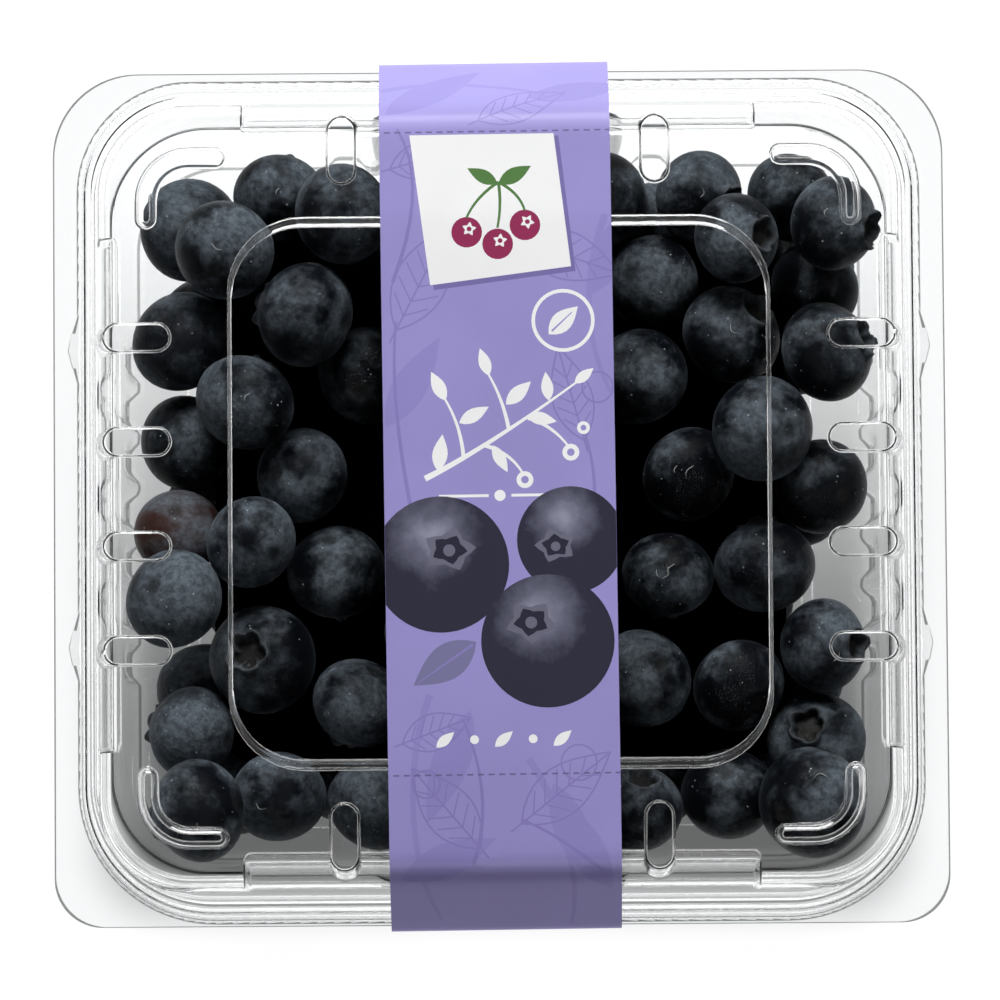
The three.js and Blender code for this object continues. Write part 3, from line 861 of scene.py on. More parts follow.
SPRIG_LEAVES = [
    (-7.6, 2.5, 4.6, 1.9, 82), (-4.9, 8.4, 4.2, 1.7, 28), (-6.5, 11.2, 4.0, 1.7, 116),
    (0.9, 10.6, 4.2, 1.8, 42), (-1.1, 14.2, 3.6, 1.5, 108), (9.4, 13.1, 3.0, 1.3, 38),
    (6.2, 11.0, 3.6, 1.5, 96), (3.4, 9.2, 3.8, 1.6, -12), (-0.8, 5.6, 3.8, 1.5, -62),
]
SPRIG_BERRIES = [(8.8, 4.6, 1.05), (3.1, 1.3, 1.05), (10.4, 7.6, 0.8)]
EMBLEM = (8.1, 20.9)     # middle of the ring with a leaf in it
RULE_V = -0.6            # of the line with a dot, under the sprig
RULE_STARTS = (-7.5, 1.4)
RULE_LENGTH = 6.1
ROW_V = -30.6            # of the row of small leaves and dots
ROW_PITCH = 3.6
TEAR_LINES = (44.55, -34.9)
TEAR_START = -13.65
CUTS = 22                # short cuts in each tear line
CUT_PITCH = 1.3
CUT_LENGTH = 0.75
CUT_HALF = 0.1
PALE_END = [(-0.6, -59.9), (8.2, -59.9), (8.0, -58.95), (-0.4, -58.95)]


def print_shapes():
    """Every shape of the print as (slot, outline), later ones on top."""
    shapes = []

    def add(slot, *outlines):
        shapes.extend((slot, np.array(outline)) for outline in outlines)

    add("soft", *[leaf(*place, 15) for place in SOFT_LEAVES])
    add("soft", *[stroke(points, 0.9, 0.5, 14) for points in SOFT_STEMS])
    for place in LINE_LEAVES:
        add("faint", *leaf_lines(*place))
    add("faint", *[stroke(points, 0.5, 0.3) for points in LINE_STEMS])
    for ring in LINE_RINGS:
        add("faint", *outline_strokes(disc(*ring, 20), 0.22))
    # A plain white card, set askew, with a small sprig of berries
    add("shadow", CARD_SHADOW)
    add("white", CARD)
    for u, v, radius in CARD_BERRIES:
        add("plum", disc(u, v, radius, 22))
        add("white", star(u + 0.3, v + 0.4, radius * 0.48, radius * 0.26, u))
        add("plum", disc(u + 0.3, v + 0.4, radius * 0.16, 10))
    add("green", *[stroke(points, 0.28, 0.4) for points in CARD_STALKS])
    add("green", *[leaf(*place) for place in CARD_LEAVES])
    # A ring with a leaf in it
    add("white", disc(*EMBLEM, 3.9, 40))
    add("violet", disc(*EMBLEM, 3.45, 40))
    add("white", leaf(6.3, 19.2, 5.0, 2.5, 43))
    add("violet", stroke([(6.7, 19.6), (9.2, 21.9)], 0.25, 0.12))
    # A white sprig in brush strokes
    add("white", stroke(SPRIG_STEM, 0.75, 0.25, 14))
    add("white", *[stroke(points, 0.5, 0.25, 14) for points in SPRIG_TWIGS])
    add("white", *[leaf(*place) for place in SPRIG_LEAVES])
    for u, v, radius in SPRIG_BERRIES:
        add("white", disc(u, v, radius, 18))
        add("violet", disc(u, v, radius * 0.45, 12))
    for u in RULE_STARTS:
        add("white", stroke([(u, RULE_V), (u + RULE_LENGTH, RULE_V)], 0.35, samples=2))
    add("white", disc(0, RULE_V, 0.7, 14))
    # Three printed berries
    for k, (u, v, radius, off, turn) in enumerate(PRINTED_BERRIES):
        add(f"berry_{k}", disc(u, v, radius, 56))
        crown_u = u + off * radius * math.cos(math.radians(turn))
        crown_v = v + off * radius * math.sin(math.radians(turn))
        for slot, outer, inner, ahead in (("crown", 0.40, 0.27, 0.4), ("basin", 0.27, 0.19, 0.2)):
            sizes = radius * outer, radius * inner
            lobes = star(crown_u, crown_v, *sizes, ahead + turn, squash=CROWN_SQUASH)
            add(slot, lobes)
        add("crown", disc(crown_u, crown_v - 0.1, radius * 0.09, 14))
    add("shade_leaf", leaf(-3.2, -18.6, 9.4, 4.4, 214, 13))
    add("faint", stroke([(-3.6, -18.9), (-10.4, -23.5)], 0.3, 0.12))
    for k in range(-2, 3):
        u = k * ROW_PITCH
        add("white", disc(u, ROW_V, 0.55, 14) if k % 2 else leaf(u - 1.1, ROW_V - 0.9, 2.9, 1.25, 40))
    for v in TEAR_LINES:
        low, high = v - CUT_HALF, v + CUT_HALF
        for k in range(CUTS):
            u = TEAR_START + k * CUT_PITCH
            add("cut", [(u, low), (u + CUT_LENGTH, low), (u + CUT_LENGTH, high), (u, high)])
    add("white", PALE_END)
    return shapes


def inside_outline(points, outline):
    """Which points lie inside a closed outline, by counting crossings."""
    inside = np.zeros(len(points), bool)
    low, high = outline.min(0), outline.max(0)
    near = np.nonzero(((points >= low) & (points <= high)).all(axis=1))[0]
    x, y = points[near, 0], points[near, 1]
    hit = np.zeros(len(near), bool)
    for (x1, y1), (x2, y2) in zip(outline, np.roll(outline, -1, axis=0)):
        crosses = (y1 > y) != (y2 > y)
        with np.errstate(divide="ignore", invalid="ignore"):
            at = x1 + (y - y1) * (x2 - x1) / (y2 - y1)
        hit ^= crosses & (x < at)
    inside[near] = hit
    return inside


VARNISH = {"Specular IOR Level": 0.12, "Coat Weight": 0.22, "Coat Roughness": 0.22}
PRINT_LAYER = 3.7        # how far apart the printed berries' mottles lie in the noise


def paper_look(name, color, roughness=0.55, fibre=0.06):
    """Coated paper in one ink: faint fibres, slight unevenness of the ink and a soft varnish."""
    material, nodes, shader = new_material(name, {"Roughness": roughness, **VARNISH})
    place = add_node(nodes, "ShaderNodeTexCoord").outputs["Object"]
    blotch = add_node(nodes, "ShaderNodeTexNoise", {"Vector": place, "Scale": 60.0, "Detail": 3.0})
    fibres = add_node(nodes, "ShaderNodeTexNoise", {"Vector": place, "Scale": 2600.0, "Detail": 2.0})
    darker, lighter = ([min(1, c * share) for c in color] for share in (0.95, 1.04))
    bump = add_node(nodes, "ShaderNodeBump", {
        "Height": fibres.outputs["Fac"], "Strength": fibre, "Distance": 0.0001,
    })
    give(shader, {
        "Base Color": color_ramp(nodes, blotch.outputs["Fac"], [(0.3, darker), (0.7, lighter)]),
        "Normal": bump.outputs["Normal"],
    })
    return material


def printed_berry_look(number, u, v, radius):
    """A printed berry's round shading, from its place on the strip, with a mottled bloom."""
    material, nodes, shader = new_material(f"print_berry_{number}", {"Roughness": 0.55, **VARNISH})
    layer = number * PRINT_LAYER
    flat = add_node(nodes, "ShaderNodeAttribute", attribute_name="print_place").outputs["Vector"]
    place = add_node(nodes, "ShaderNodeMapping", {
        "Vector": flat, "Scale": (1 / radius, 1 / radius, 1), "Location": (-u / radius, -v / radius, layer),
    }).outputs["Vector"]
    offset = vector_math(nodes, "SUBTRACT", place, (-0.12, 0.42, layer))
    length = vector_math(nodes, "LENGTH", offset, output="Value")
    mottle = add_node(nodes, "ShaderNodeTexNoise", {
        "Vector": place, "Scale": 3.2, "Detail": 8.0, "Roughness": 0.62,
    })
    uneven = math_node(nodes, "MULTIPLY_ADD", mottle.outputs["Fac"], 0.55, length)
    give(shader, {"Base Color": color_ramp(nodes, uneven, [
        (0.30, (0.30, 0.31, 0.40)), (0.62, (0.13, 0.132, 0.190)), (1.0, (0.022, 0.022, 0.040)),
    ])})
    return material
VIOLET = (0.340, 0.304, 0.646)
PRINT = {
    "violet": paper_look("print_violet", VIOLET),
    "soft": paper_look("print_soft_leaves", (0.300, 0.266, 0.600)),
    "faint": paper_look("print_faint_lines", (0.262, 0.226, 0.540)),
    "shadow": paper_look("print_card_shadow", (0.20, 0.17, 0.42)),
    "white": paper_look("paper_white", (0.98, 0.98, 0.99)),
    "plum": paper_look("print_plum", (0.30, 0.03, 0.10)),
    "green": paper_look("print_green", (0.09, 0.20, 0.06)),
    **{f"berry_{k}": printed_berry_look(k, *berry[:3]) for k, berry in enumerate(PRINTED_BERRIES)},
    "crown": paper_look("print_crown", (0.15, 0.15, 0.21)),
    "basin": paper_look("print_basin", (0.018, 0.018, 0.035)),
    "shade_leaf": paper_look("print_leaf", (0.20, 0.19, 0.36)),
    "cut": paper_look("print_cut", (0.16, 0.14, 0.32)),
    "inside": paper_look("paper_inside", (0.70, 0.70, 0.72), roughness=0.8, fibre=0.2),
}


def make_band():
    """The printed band: its flat shapes are cut into the strip, which is then laid round the pack."""
    path, under = BandPath(BAND_CLEAR + PAPER_SHEET), BandPath(BAND_CLEAR)
    half_width, half_length = BAND_WIDTH / 2, path.length / 2
    shapes = [(slot, clip_to_band(outline, half_width)) for slot, outline in print_shapes()]
    shapes = [shape for shape in shapes if len(shape[1]) > 2]
    across = np.linspace(-half_width, half_width, 13)
    rows = [-half_length, *path.folds(), half_length]
    rows = np.unique(np.concatenate([
        np.linspace(a, b, max(2, math.ceil((b - a) / 2.0) + 1)) for a, b in zip(rows[:-1], rows[1:])
    ]))
    lines = [(np.column_stack([across, np.full(len(across), v)]), False) for v in rows]
    lines += [(np.column_stack([np.full(len(rows), u), rows]), False) for u in (-half_width, half_width)]
    plan, triangles = triangulated(lines + [(outline, True) for _, outline in shapes])
    middles = plan[triangles].mean(axis=1)
    names = list(PRINT)
    slots = np.zeros(len(triangles), int)
    for slot, outline in shapes:
        slots[inside_outline(middles, outline)] = names.index(slot)

    count = len(plan)
    outer = np.column_stack([plan[:, 0], *path.at(plan[:, 1])])
    inner = np.column_stack([plan[:, 0], *under.at(plan[:, 1] * under.length / path.length)])
    body = np.concatenate([outer, inner])
    body[:, :2] = body[:, :2] @ turn_by(BAND_TURN)
    on_side = np.abs(np.abs(plan[:, 0]) - half_width) < JUST_INSIDE
    rim = [(a, b) for a, b in open_edges(triangles) if on_side[a] and on_side[b]]
    faces = triangles.tolist() + [(a + count, c + count, b + count) for a, b, c in triangles.tolist()]
    faces += [(b, a, a + count, b + count) for a, b in rim]
    inside = np.full(len(triangles), names.index("inside"))
    edge = np.full(len(rim), names.index("white"))
    face_slots = np.concatenate([slots, inside, edge])
    obj = make_object("paper_band", body, faces, list(PRINT.values()), face_slots)
    flat = np.column_stack([plan, np.zeros(count)])
    add_vectors(obj, "print_place", np.concatenate([flat, flat]))
    weld(obj)
    obj.data.set_sharp_from_angle(angle=math.radians(BAND_SHARP))
    return obj


def clip_to_band(outline, half_width):
    """An outline cut off at the band's two sides."""
    for side in (-1, 1):
        kept = []
        limit = half_width - 0.02
        for a, b in zip(outline, np.roll(outline, -1, axis=0)):
            in_a, in_b = side * a[0] <= limit, side * b[0] <= limit
            if in_a:
                kept.append(a)
            if in_a != in_b:
                share = (side * limit - a[0]) / (b[0] - a[0])
                kept.append(a + (b - a) * share)
        outline = np.array(kept)
    return outline


def weld(obj):
    """Joins points that lie on each other, keeping the order of the faces."""
    mesh = bmesh.new()
    mesh.from_mesh(obj.data)
    bmesh.ops.remove_doubles(mesh, verts=mesh.verts, dist=SAME_PLACE * MM)
    mesh.to_mesh(obj.data)
    mesh.free()


band = make_band()


# Berries

# The berries that the photo shows: middle x, y, z before they settle, and radius
SEEN = [
    (-39.1, 35.5, 17, 6.5), (-34.3, 31.1, 25, 6.3), (-26.2, 39.2, 20, 5.9), (-21.2, 36.1, 24, 6.3),
    (-41.5, 20.1, 24, 6.4), (-24.6, 23.3, 26, 6.6), (-32.4, 12.4, 20, 6.3), (-38.7, 6.8, 14, 6.0),
    (-39.9, -3.3, 14, 5.6), (-31.2, -5.1, 21, 5.8), (-20.6, -8.9, 24, 6.3), (-40.6, -11.8, 22, 6.2),
    (-30.2, -20.1, 25, 6.8), (-16.8, -25.4, 22, 6.0), (-38.1, -28.5, 19, 5.9), (-37.4, -38.2, 22, 6.4),
    (-26.6, -37.0, 18, 6.0), (-18.1, -38.2, 18, 6.0), (-16.8, 16.8, 19, 6.2), (-24.9, 3.0, 15, 6.0),
    (15.1, 39.2, 20, 5.9), (24.8, 38.6, 22, 5.9), (36.3, 38.0, 19, 5.8), (29.4, 32.4, 24, 5.6),
    (40.5, 34.9, 23, 6.0), (39.1, 26.8, 15, 5.8), (19.4, 27.4, 19, 6.0), (28.4, 20.5, 24, 6.4),
    (40.5, 18.6, 22, 6.3), (18.2, 15.5, 19, 6.2), (33.2, 8.0, 24, 6.6), (23.8, 3.0, 18, 6.1),
    (39.4, 1.1, 19, 6.0), (21.3, -9.5, 20, 5.8), (33.8, -8.9, 19, 6.4), (39.4, -18.9, 19, 5.9),
    (20.1, -22.6, 20, 6.2), (29.4, -22.6, 18, 5.9), (37.6, -30.1, 18, 6.2), (38.6, -37.6, 25, 7.0),
    (26.9, -37.0, 17, 5.9), (18.8, -38.9, 19, 5.9),
]
BERRY_RADIUS = 6.3
HEAP_SEED = 7
SETTLE_PASSES = 300
FALL = 0.02              # how far all sink in each pass
HOME_PULL = 0.04         # how much of the way back to its place in the photo each goes
# The upper berries under the band stand in two columns, those of the lower layer in rows
HIDDEN_UPPER = 14
COLUMN_X = 6.4
COLUMN_PITCH = 12.6
COLUMN_SQUEEZE = 0.95
COLUMN_SHIFT = 0.22      # how far each of the two columns is moved, in pitches
COLUMN_Z = 21
ROW_PITCH_X = 12.7
ROW_SQUEEZE = 0.94
ROW_PITCH_Y = 11.3
ROW_Z = 8.5


def random_from(seed):
    """The small generator of the CAD source, so that the heap comes out as it does there."""
    state = seed
    while True:
        state = (state * 1103515245 + 12345) % 2147483648
        yield state / 2147483648


def starting_berries():
    """The berries of the photo, those under the band and the lower layer, before they settle."""
    random = random_from(HEAP_SEED)
    places = [list(b) for b in SEEN]

    def size():
        return BERRY_RADIUS * (0.93 + 0.14 * next(random))

    for k in range(-3, 4):
        for side in (-1, 1):
            y = (k + side * COLUMN_SHIFT) * COLUMN_PITCH * COLUMN_SQUEEZE
            places.append([side * COLUMN_X, y, COLUMN_Z, size()])
    for row in range(-3, 4):
        shift = 0.5 if row % 2 else 0
        for k in range(-3, int(3 - 2 * shift) + 1):
            x = (k + shift) * ROW_PITCH_X * ROW_SQUEEZE + next(random) - 0.5
            y = row * ROW_PITCH_Y + next(random) - 0.5
            places.append([x, y, ROW_Z, size()])
    return np.array(places, float)


# The heap narrows towards its foot, which lies clear of the wall
HEAP_FOOT = {"x": 42.6, "y": 40.6, "r": 9.5, "z": FLOOR_TOP}


def keep_inside(places, radii):
    """Moves berries back from the walls, the floor and the lid."""
    climb = np.clip((places[:, 2] - HEAP_FOOT["z"]) / (MOUTH["z"] - HEAP_FOOT["z"]), 0, 1)
    at = {key: HEAP_FOOT[key] + climb * (MOUTH[key] - HEAP_FOOT[key]) for key in "xyr"}
    reach = radii * 1.03 + GAP
    across = np.abs(places[:, :2]) - np.stack([at["x"] - at["r"], at["y"] - at["r"]], 1)
    room = at["r"] - reach
    in_corner = (across > 0).all(axis=1)
    excess = np.maximum(np.hypot(across[:, 0], across[:, 1]) / room, 1)
    pull = across * np.where(in_corner, 1 - 1 / excess, 1)[:, None]
    pull = np.where(in_corner[:, None], pull, np.maximum(0, across - room[:, None]))
    places[:, :2] -= np.sign(places[:, :2]) * pull
    places[:, 2] = np.clip(places[:, 2], FLOOR_TOP + GAP + radii, PLATE_TOP - 0.5 - GAP - radii)


def settle(berries):
    """Pushes overlapping berries apart while they sink and the photo's ones are drawn to their places."""
    places, radii = berries[:, :3].copy(), berries[:, 3]
    home = places[:len(SEEN), :2].copy()
    count = len(places)
    for _ in range(SETTLE_PASSES):
        places[:, 2] -= FALL
        places[:len(SEEN), :2] += HOME_PULL * (home - places[:len(SEEN), :2])
        for i in range(count - 1):
            others = slice(i + 1, count)
            close = np.abs(places[others, 0] - places[i, 0]) < radii[others] + radii[i]
            near = np.nonzero(close)[0] + i + 1
            for j in near:
                away = places[i] - places[j]
                distance = math.sqrt(away @ away)
                push = (radii[i] + radii[j] - distance) / (2 * distance)
                if push > 0:
                    places[i] += away * push
                    places[j] -= away * push
        keep_inside(places, radii)
    return places, radii


BERRY_MARKS = ("crown", "basin", "tone", "brown")     # numbers on the mesh that the skin reads


def berry_look():
    """Dark skin under a rubbed, mottled bloom, with dry crowns, a few pale specks and fine pits."""
    material, nodes, shader = new_material("berry_skin", {
        "Specular IOR Level": 0.05, "Sheen Weight": 0.05, "Sheen Roughness": 0.35,
        "Sheen Tint": (0.75, 0.85, 1.0, 1),
    })

    def attribute(name, output="Fac"):
        return add_node(nodes, "ShaderNodeAttribute", attribute_name=name).outputs[output]

    place = attribute("berry_place", "Vector")
    crown, basin, tone, brown = (attribute(name) for name in BERRY_MARKS)

    def noise(scale, detail, roughness=0.5):
        inputs = {"Vector": place, "Scale": scale, "Detail": detail, "Roughness": roughness}
        return add_node(nodes, "ShaderNodeTexNoise", inputs).outputs["Fac"]

    def mix(share, a, b):
        a, b = (c if isinstance(c, bpy.types.NodeSocket) else (*c, 1) for c in (a, b))
        return add_node(nodes, "ShaderNodeMix", {0: share, 6: a, 7: b}, data_type="RGBA").outputs[2]

    rubbed = math_node(nodes, "ADD", noise(0.8, 4, 0.6), math_node(nodes, "MULTIPLY", tone, 0.14))
    mottle = eased(nodes, noise(7.0, 7, 0.72), 0.36, 0.64)
    bloom = math_node(nodes, "MULTIPLY_ADD", mottle, 0.6, 0.4)
    bloom = math_node(nodes, "MULTIPLY", eased(nodes, rubbed, 0.42, 0.66), bloom)
    skin = mix(tone, (0.0020, 0.0026, 0.0040), (0.0034, 0.0044, 0.0072))
    skin = mix(brown, skin, (0.045, 0.020, 0.016))
    color = mix(bloom, skin, (0.150, 0.176, 0.206))
    specks = add_node(nodes, "ShaderNodeTexVoronoi", {"Vector": place, "Scale": 5.5})
    speck = math_node(nodes, "SUBTRACT", 1.0, eased(nodes, specks.outputs["Distance"], 0.055, 0.12))
    speck = math_node(nodes, "MULTIPLY", speck, eased(nodes, noise(3.1, 1), 0.50, 0.60))
    color = mix(math_node(nodes, "MULTIPLY", speck, 0.8), color, (0.55, 0.60, 0.65))
    color = mix(basin, color, mix(noise(9.0, 4), (0.003, 0.003, 0.004), (0.030, 0.028, 0.026)))
    color = mix(crown, color, mix(noise(8.0, 4), (0.030, 0.034, 0.040), (0.10, 0.105, 0.11)))
    rough = add_node(nodes, "ShaderNodeMapRange", {"Value": bloom, "To Min": 0.36, "To Max": 0.62})
    pits = noise(14.0, 3, 0.7)
    bump = add_node(nodes, "ShaderNodeBump", {"Height": pits, "Strength": 0.5, "Distance": 0.0002})
    give(shader, {
        "Base Color": color, "Roughness": rough.outputs["Result"], "Normal": bump.outputs["Normal"],
    })
    return material


BERRY_SKIN = berry_look()
CRUMB_LOOK = new_material("calyx_crumbs", {"Base Color": (0.42, 0.43, 0.42, 1), "Roughness": 0.6})[0]
BROWN_BERRY = 8          # the one in SEEN that is not quite ripe
LEAN_LEAST = 112         # the other crowns lean down, from so many degrees off the zenith
LEAN_RANGE = 40
RIGHT_SIDE_DARKER = 0.5          # the fruit on the right has less bloom and so is darker than on the left
SKIN_SHIFT = 7.3         # how far apart the berries' skins lie in the noise


# Rows of a berry's points, in degrees off the middle of its crown
CROWN_ANGLES = [3, 7, 11, 14, 16.5, 18.5, 20.5, 22.5, 24.5, 27, 31, 37]
SIDE_ANGLES = (44, 150)
SCAR_ANGLES = [160, 168, 174, 178]       # round the scar of the stalk
FLATTEN = 0.86
WAVE_TURN = 6.28
WAVES = ((2, 0.014), (3, 0.010), (5, 0.006))      # lobes and depth of a berry's unevenness


def berry_shape(columns, side_rows, lobes_turn, random):
    """Points of one berry of radius one, its crown on +Z, with the share of crown and basin in each."""
    angles = np.radians([*CROWN_ANGLES, *np.linspace(*SIDE_ANGLES, side_rows), *SCAR_ANGLES])
    turns = np.arange(columns) / columns * 2 * math.pi
    angle, turn = np.meshgrid(angles, turns, indexing="ij")
    radius = np.ones_like(angle)
    for lobes, depth in WAVES:
        radius += depth * random() * np.cos(lobes * turn + WAVE_TURN * random()) * np.sin(angle) ** 2
    degrees = np.degrees(angle)
    lobe = np.abs(np.cos(2.5 * (turn + lobes_turn))) ** 0.8
    lobe *= 0.8 + 0.2 * np.cos(3 * turn + WAVE_TURN * random())
    edge = 16.5 + 7 * lobe
    rim = np.exp(-((degrees - edge) / 2.4) ** 2)
    basin = 1 - smoothstep(edge - 7, edge - 0.5, degrees)
    x = radius * np.sin(angle) * np.cos(turn)
    y = radius * np.sin(angle) * np.sin(turn)
    z = radius * np.cos(angle) * FLATTEN
    z += 0.14 * rim * lobe - 0.19 * basin + 0.03 * (1 - smoothstep(23, 40, degrees))
    flare = 1 + 0.10 * rim * lobe
    scar = smoothstep(166, 175, degrees)
    z += 0.05 * scar
    rim_look = np.clip(rim * 1.2, 0, 1) * (0.35 + 0.65 * lobe)
    return np.stack([x * flare, y * flare, z], -1), rim_look, np.maximum(basin, 0.7 * scar)


CURLS = 16               # dry calyx hairs and crumbs that lie on the berries
CRUMBS = 46
CRUMB_LEAN = 48          # how many degrees off a berry's top they lie at most


def pointing(lean, swing):
    """A direction that far off the zenith and that far round it."""
    return np.array([math.sin(lean) * math.cos(swing), math.sin(lean) * math.sin(swing), math.cos(lean)])


def crumb_tubes(places, radii, random, rings=6, sides=5):
    """Fine curled hairs and specks on top of the berries, as closed tubes."""
    points, faces = [], []
    for number in range(CURLS + CRUMBS):
        k = int(random() * len(places))
        lean, swing = math.radians(CRUMB_LEAN) * random(), 2 * math.pi * random()
        up = pointing(lean, swing)
        along = np.cross(up, [math.cos(swing + 2 * random()), math.sin(swing), 0.3])
        along /= np.linalg.norm(along)
        aside = np.cross(up, along)
        curl = number < CURLS
        length = 0.7 + 1.2 * random() if curl else 0.10 + 0.12 * random()
        half_width = 0.055 if curl else 0.07 + 0.05 * random()
        bend = (0.5 + 0.8 * random()) * (curl and length)
        t = np.linspace(-0.5, 0.5, rings)[:, None]
        line = places[k] + up * (radii[k] * 0.99 + half_width) + along * length * t
        line = line + aside * bend * (t ** 2 * 1.6 + t ** 3 * 2)
        taper = np.sqrt(np.maximum(0.08, 1 - (2 * t) ** 4)) * half_width
        around = np.arange(sides) / sides * 2 * math.pi
        tube = [line + (up * math.cos(angle) + aside * math.sin(angle)) * taper for angle in around]
        first = len(points) * rings * sides
        points.append(np.stack(tube, 1).reshape(-1, 3))
        faces.extend((grid_faces(rings, sides) + first).tolist())
        faces.append([first + i for i in range(sides)][::-1])
        faces.append([first + (rings - 1) * sides + i for i in range(sides)])
    return np.concatenate(points), faces


def make_berries(name, places, radii, axes, columns, side_rows, seed, brown=None, crumbs_on=0):
    """Berries as one mesh. The first ones, crumbs_on in number, carry the crumbs and curled hairs."""
    random_source = random_from(seed)

    def random():
        return next(random_source)

    points, faces, local = [], [], []
    marks = {mark: [] for mark in BERRY_MARKS}
    first = 0
    for number, (place, radius, axis) in enumerate(zip(places, radii, axes)):
        shape, crown, basin = berry_shape(columns, side_rows, random() * WAVE_TURN, random)
        rows = shape.shape[0]
        if axis is None:
            axis = pointing(math.radians(LEAN_LEAST + LEAN_RANGE * random()), random() * 2 * math.pi)
        turn = Vector((0, 0, 1)).rotation_difference(Vector(tuple(axis))).to_matrix()
        ends = np.array([[0, 0, shape[0, :, 2].mean()], [0, 0, shape[-1, :, 2].mean()]])
        flat = np.concatenate([shape.reshape(-1, 3), ends])
        points.append((flat * radius) @ np.array(turn).T + place)
        local.append(flat + SKIN_SHIFT * random())
        marks["crown"].append(np.append(crown, [0, 0]))
        marks["basin"].append(np.append(basin, [1, 0.7]))
        marks["tone"].append(np.full(len(flat), random() - RIGHT_SIDE_DARKER * (place[0] > 0)))
        marks["brown"].append(np.full(len(flat), float(number == brown)))
        top, last = first + rows * columns, first + (rows - 1) * columns
        faces.extend((grid_faces(rows, columns)[:, ::-1] + first).tolist())
        faces.extend(fan_faces(top, first, columns).tolist())
        faces.extend(fan_faces(top + 1, last, columns, flipped=True).tolist())
        first += len(flat)
    face_slots = np.zeros(len(faces), int)
    if crumbs_on:
        crumbs, crumb_faces = crumb_tubes(places[:crumbs_on], radii[:crumbs_on], random)
        faces.extend([[i + first for i in face] for face in crumb_faces])
        face_slots = np.append(face_slots, np.ones(len(crumb_faces), int))
        points.append(crumbs)
        local.append(crumbs)
        for values in marks.values():
            values.append(np.zeros(len(crumbs)))
    obj = make_object(name, np.concatenate(points), faces, [BERRY_SKIN, CRUMB_LOOK], face_slots)
    add_vectors(obj, "berry_place", np.concatenate(local))
    for mark, values in marks.items():
        add_attribute(obj, mark, np.concatenate(values))
    return obj


# Berries whose crown shows in the photo, by their place in SEEN, with the way it points
CROWNS = {
    12: (-0.30, 0.12, 0.95), 21: (0.75, -0.25, 0.6), 23: (0.66, 0.0, 0.75), 24: (0.86, -0.2, 0.46),
    27: (0.55, 0.52, 0.64), 28: (0.86, 0.3, 0.4), 35: (0.80, -0.05, 0.6), 38: (-0.25, 0.32, 0.91),
    41: (0.15, 0.72, 0.66),
}

berry_places, berry_radii = settle(starting_berries())
upper = len(SEEN) + HIDDEN_UPPER
axes = [CROWNS.get(i) for i in range(len(berry_places))]
berries = make_berries(
    "berries_upper", berry_places[:upper], berry_radii[:upper], axes[:upper],
    columns=40, side_rows=16, seed=21, brown=BROWN_BERRY, crumbs_on=len(SEEN),
)
lower_berries = make_berries(
    "berries_lower", berry_places[upper:], berry_radii[upper:], axes[upper:],
    columns=28, side_rows=10, seed=22,
)

CORE_STATIONS = [
    station(30, 28, 8, 5.0),
    station(36, 34, 8, 7.5),
    station(36, 34, 8, 14.5),
    station(28, 26, 8, 17.5),
]
# Near-black painted shade, which fills the gaps between the berries
CORE_PAINTED_SHADE = new_material("core_painted_shade", {
    "Base Color": (0.0006, 0.0007, 0.001, 1), "Roughness": 1.0, "Specular IOR Level": 0.0,
})[0]


def make_core():
    """A near-black block of painted shade in the middle of the heap, which shows as shadow between the
    berries.
    """
    section = Section(CORE_STATIONS, [0, 2, 2, 0])
    rings = np.array([ring_points(s, 12, 6) for s in section.at(section.samples(3, 4))])
    rows, columns = rings.shape[:2]
    points = np.concatenate([rings.reshape(-1, 3), [rings[0].mean(0)], [rings[-1].mean(0)]])
    faces = grid_faces(rows, columns).tolist()
    faces += fan_faces(rows * columns, 0, columns, flipped=True).tolist()
    faces += fan_faces(rows * columns + 1, (rows - 1) * columns, columns).tolist()
    return make_object("heap_core", points, faces, [CORE_PAINTED_SHADE])


core = make_core()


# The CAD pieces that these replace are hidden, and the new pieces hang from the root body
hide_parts("tub")
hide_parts("lid")
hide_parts("band")
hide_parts("berries")
for piece in (tub, lid, band, berries, lower_berries, core):
    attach(piece, "root")


# Floor, light and camera

FLOOR_HALF = 1500
FLOOR_GLOW = 0.98         # light of the floor itself, clear of the pack
FLOOR_PAINTED_LIGHT_BACK = 1.25    # painted light under the back of the pack
FLOOR_PAINTED_SHADE_FRONT = 0.16   # painted shade under its front, standing in for the pack's shadow
SHADE_BOX = (0.043, 0.0425, 1)    # half the part of the floor with painted shade, in metres, and the soft edge round it
SHADE_EDGE = 0.013
SHADE_FRONT = -0.034      # where along the depth the painted shade starts to lift, and where it is gone
SHADE_BACK = 0.060

# The world's brightness by the height of the direction: a bright ring high up, and dark straight above
WORLD_RING = [(0.0, 0.07), (0.67, 0.06), (0.74, 1.0), (0.86, 1.0), (0.91, 0.05), (0.94, 0.0)]
WORLD_FRONT = 0.06
WORLD_BACK = 0.45
WORLD_TURN = (-0.7, 0.5)  # where along the depth it goes from one to the other
GLOSS_STRENGTH = 5.0

LAMP_LENGTH = 0.9
LAMP_TARGET = (0, 0, 0.02)
STRIPS = {"front": (0.0, -0.95, 0.62), "left": (-0.95, 0.0, 0.62), "right": (0.95, 0.0, 0.62)}

CAMERA_TILT = math.radians(4.2)
CAMERA_ROLL = math.radians(0.4)
CAMERA_DISTANCE = 0.95
CAMERA_TARGET = (0.0, -0.0004, 0.0268)
CAMERA_LENS = 275


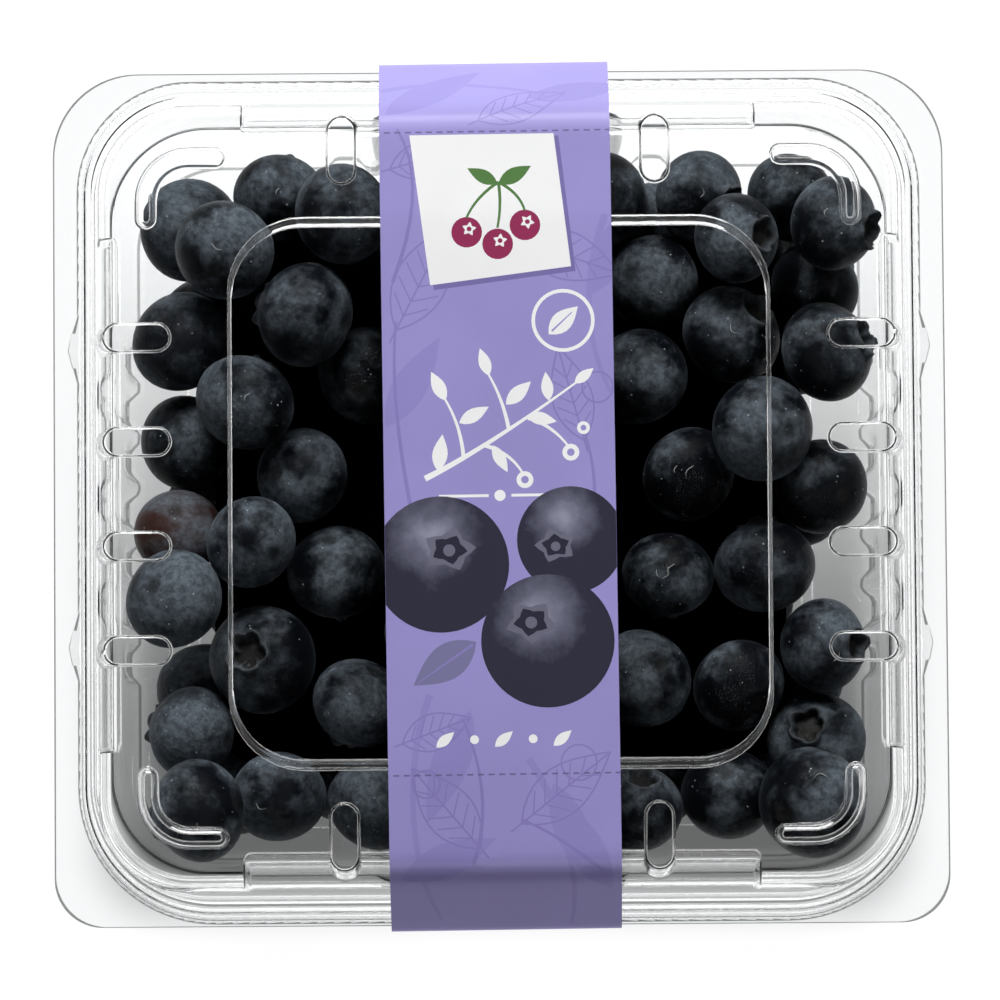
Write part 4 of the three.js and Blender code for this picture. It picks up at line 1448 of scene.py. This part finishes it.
def make_floor():
    """A pale floor that glows a little, with painted shade: less glow under the front of the pack, more
    under its back.
    """
    size = FLOOR_HALF
    points = [(-size, -size, 0), (size, -size, 0), (size, size, 0), (-size, size, 0)]
    material, nodes, shader = new_material("floor_white", {
        "Base Color": (0.12, 0.12, 0.12, 1), "Roughness": 0.9, "Specular IOR Level": 0.0,
        "Emission Color": (1, 1, 1, 1),
    })
    place = add_node(nodes, "ShaderNodeTexCoord").outputs["Object"]
    over = vector_math(nodes, "SUBTRACT", vector_math(nodes, "ABSOLUTE", place), SHADE_BOX)
    outside = vector_math(nodes, "LENGTH", vector_math(nodes, "MAXIMUM", over), output="Value")
    depth = add_node(nodes, "ShaderNodeSeparateXYZ", {"Vector": place}).outputs["Y"]
    # Painted shade and light under the pack, set by the strength of the glow
    under = eased(nodes, depth, SHADE_FRONT, SHADE_BACK, FLOOR_PAINTED_SHADE_FRONT, FLOOR_PAINTED_LIGHT_BACK)
    give(shader, {"Emission Strength": eased(nodes, outside, 0, SHADE_EDGE, under, FLOOR_GLOW)})
    floor = make_object("floor", points, [(0, 1, 2, 3)], [material])


def make_light(name, place, power, width):
    """A long lamp that points at the pack."""
    data = bpy.data.lights.new(name, "AREA")
    data.shape = "RECTANGLE"
    data.size = LAMP_LENGTH
    data.size_y = width
    data.energy = power
    light = bpy.data.objects.new(name, data)
    light.location = place
    light.rotation_euler = (Vector(LAMP_TARGET) - Vector(place)).to_track_quat("-Z", "Y").to_euler()
    bpy.context.scene.collection.objects.link(light)


def make_world():
    """A bright ring all round, dimmer at the front, with a dark zenith that the flat lid mirrors."""
    world = bpy.data.worlds.new("studio")
    bpy.context.scene.world = world
    world.use_nodes = True
    nodes = world.node_tree.nodes
    direction = add_node(nodes, "ShaderNodeTexCoord").outputs["Generated"]
    parts = add_node(nodes, "ShaderNodeSeparateXYZ", {"Vector": direction}).outputs
    ring = color_ramp(nodes, parts["Z"], [(place, (level, level, level)) for place, level in WORLD_RING])
    side = eased(nodes, parts["Y"], *WORLD_TURN, WORLD_FRONT, WORLD_BACK)
    # Mirrored rays see the ring brighter, as small bright lamps would show in gloss
    light = add_node(nodes, "ShaderNodeLightPath").outputs
    unscattered = math_node(nodes, "LESS_THAN", light["Diffuse Depth"], 0.5)
    mirrored = math_node(nodes, "MULTIPLY", light["Is Glossy Ray"], unscattered)
    strength = math_node(nodes, "MULTIPLY_ADD", mirrored, GLOSS_STRENGTH, side)
    give(nodes["Background"], {"Color": ring, "Strength": strength})


def make_camera():
    """A camera almost straight above, as in the photo."""
    data = bpy.data.cameras.new("camera")
    data.sensor_width = 36
    data.lens = CAMERA_LENS
    data.clip_end = 20
    camera = bpy.data.objects.new("camera", data)
    back = Vector((0, -math.sin(CAMERA_TILT), math.cos(CAMERA_TILT)))
    place = Matrix.Translation(Vector(CAMERA_TARGET) + back * CAMERA_DISTANCE)
    turn = Matrix.Rotation(CAMERA_TILT, 4, "X") @ Matrix.Rotation(-CAMERA_ROLL, 4, "Z")
    camera.matrix_world = place @ turn
    bpy.context.scene.collection.objects.link(camera)
    bpy.context.scene.camera = camera


make_floor()
make_world()
make_light("key_back", (0.0, 0.95, 0.70), 17, 0.36)
# Narrow strips, which only draw thin bright lines on the folds
for side, place in STRIPS.items():
    make_light(f"strip_{side}", place, 0.7, 0.04)
make_camera()
bpy.context.scene.view_settings.view_transform = "Standard"
CYCLES = {
    "use_denoising": True, "adaptive_threshold": 0.03, "max_bounces": 10, "diffuse_bounces": 2,
    "glossy_bounces": 5, "transmission_bounces": 10, "transparent_max_bounces": 12,
    "caustics_reflective": False, "caustics_refractive": False,
}
for setting, value in CYCLES.items():
    setattr(bpy.context.scene.cycles, setting, value)
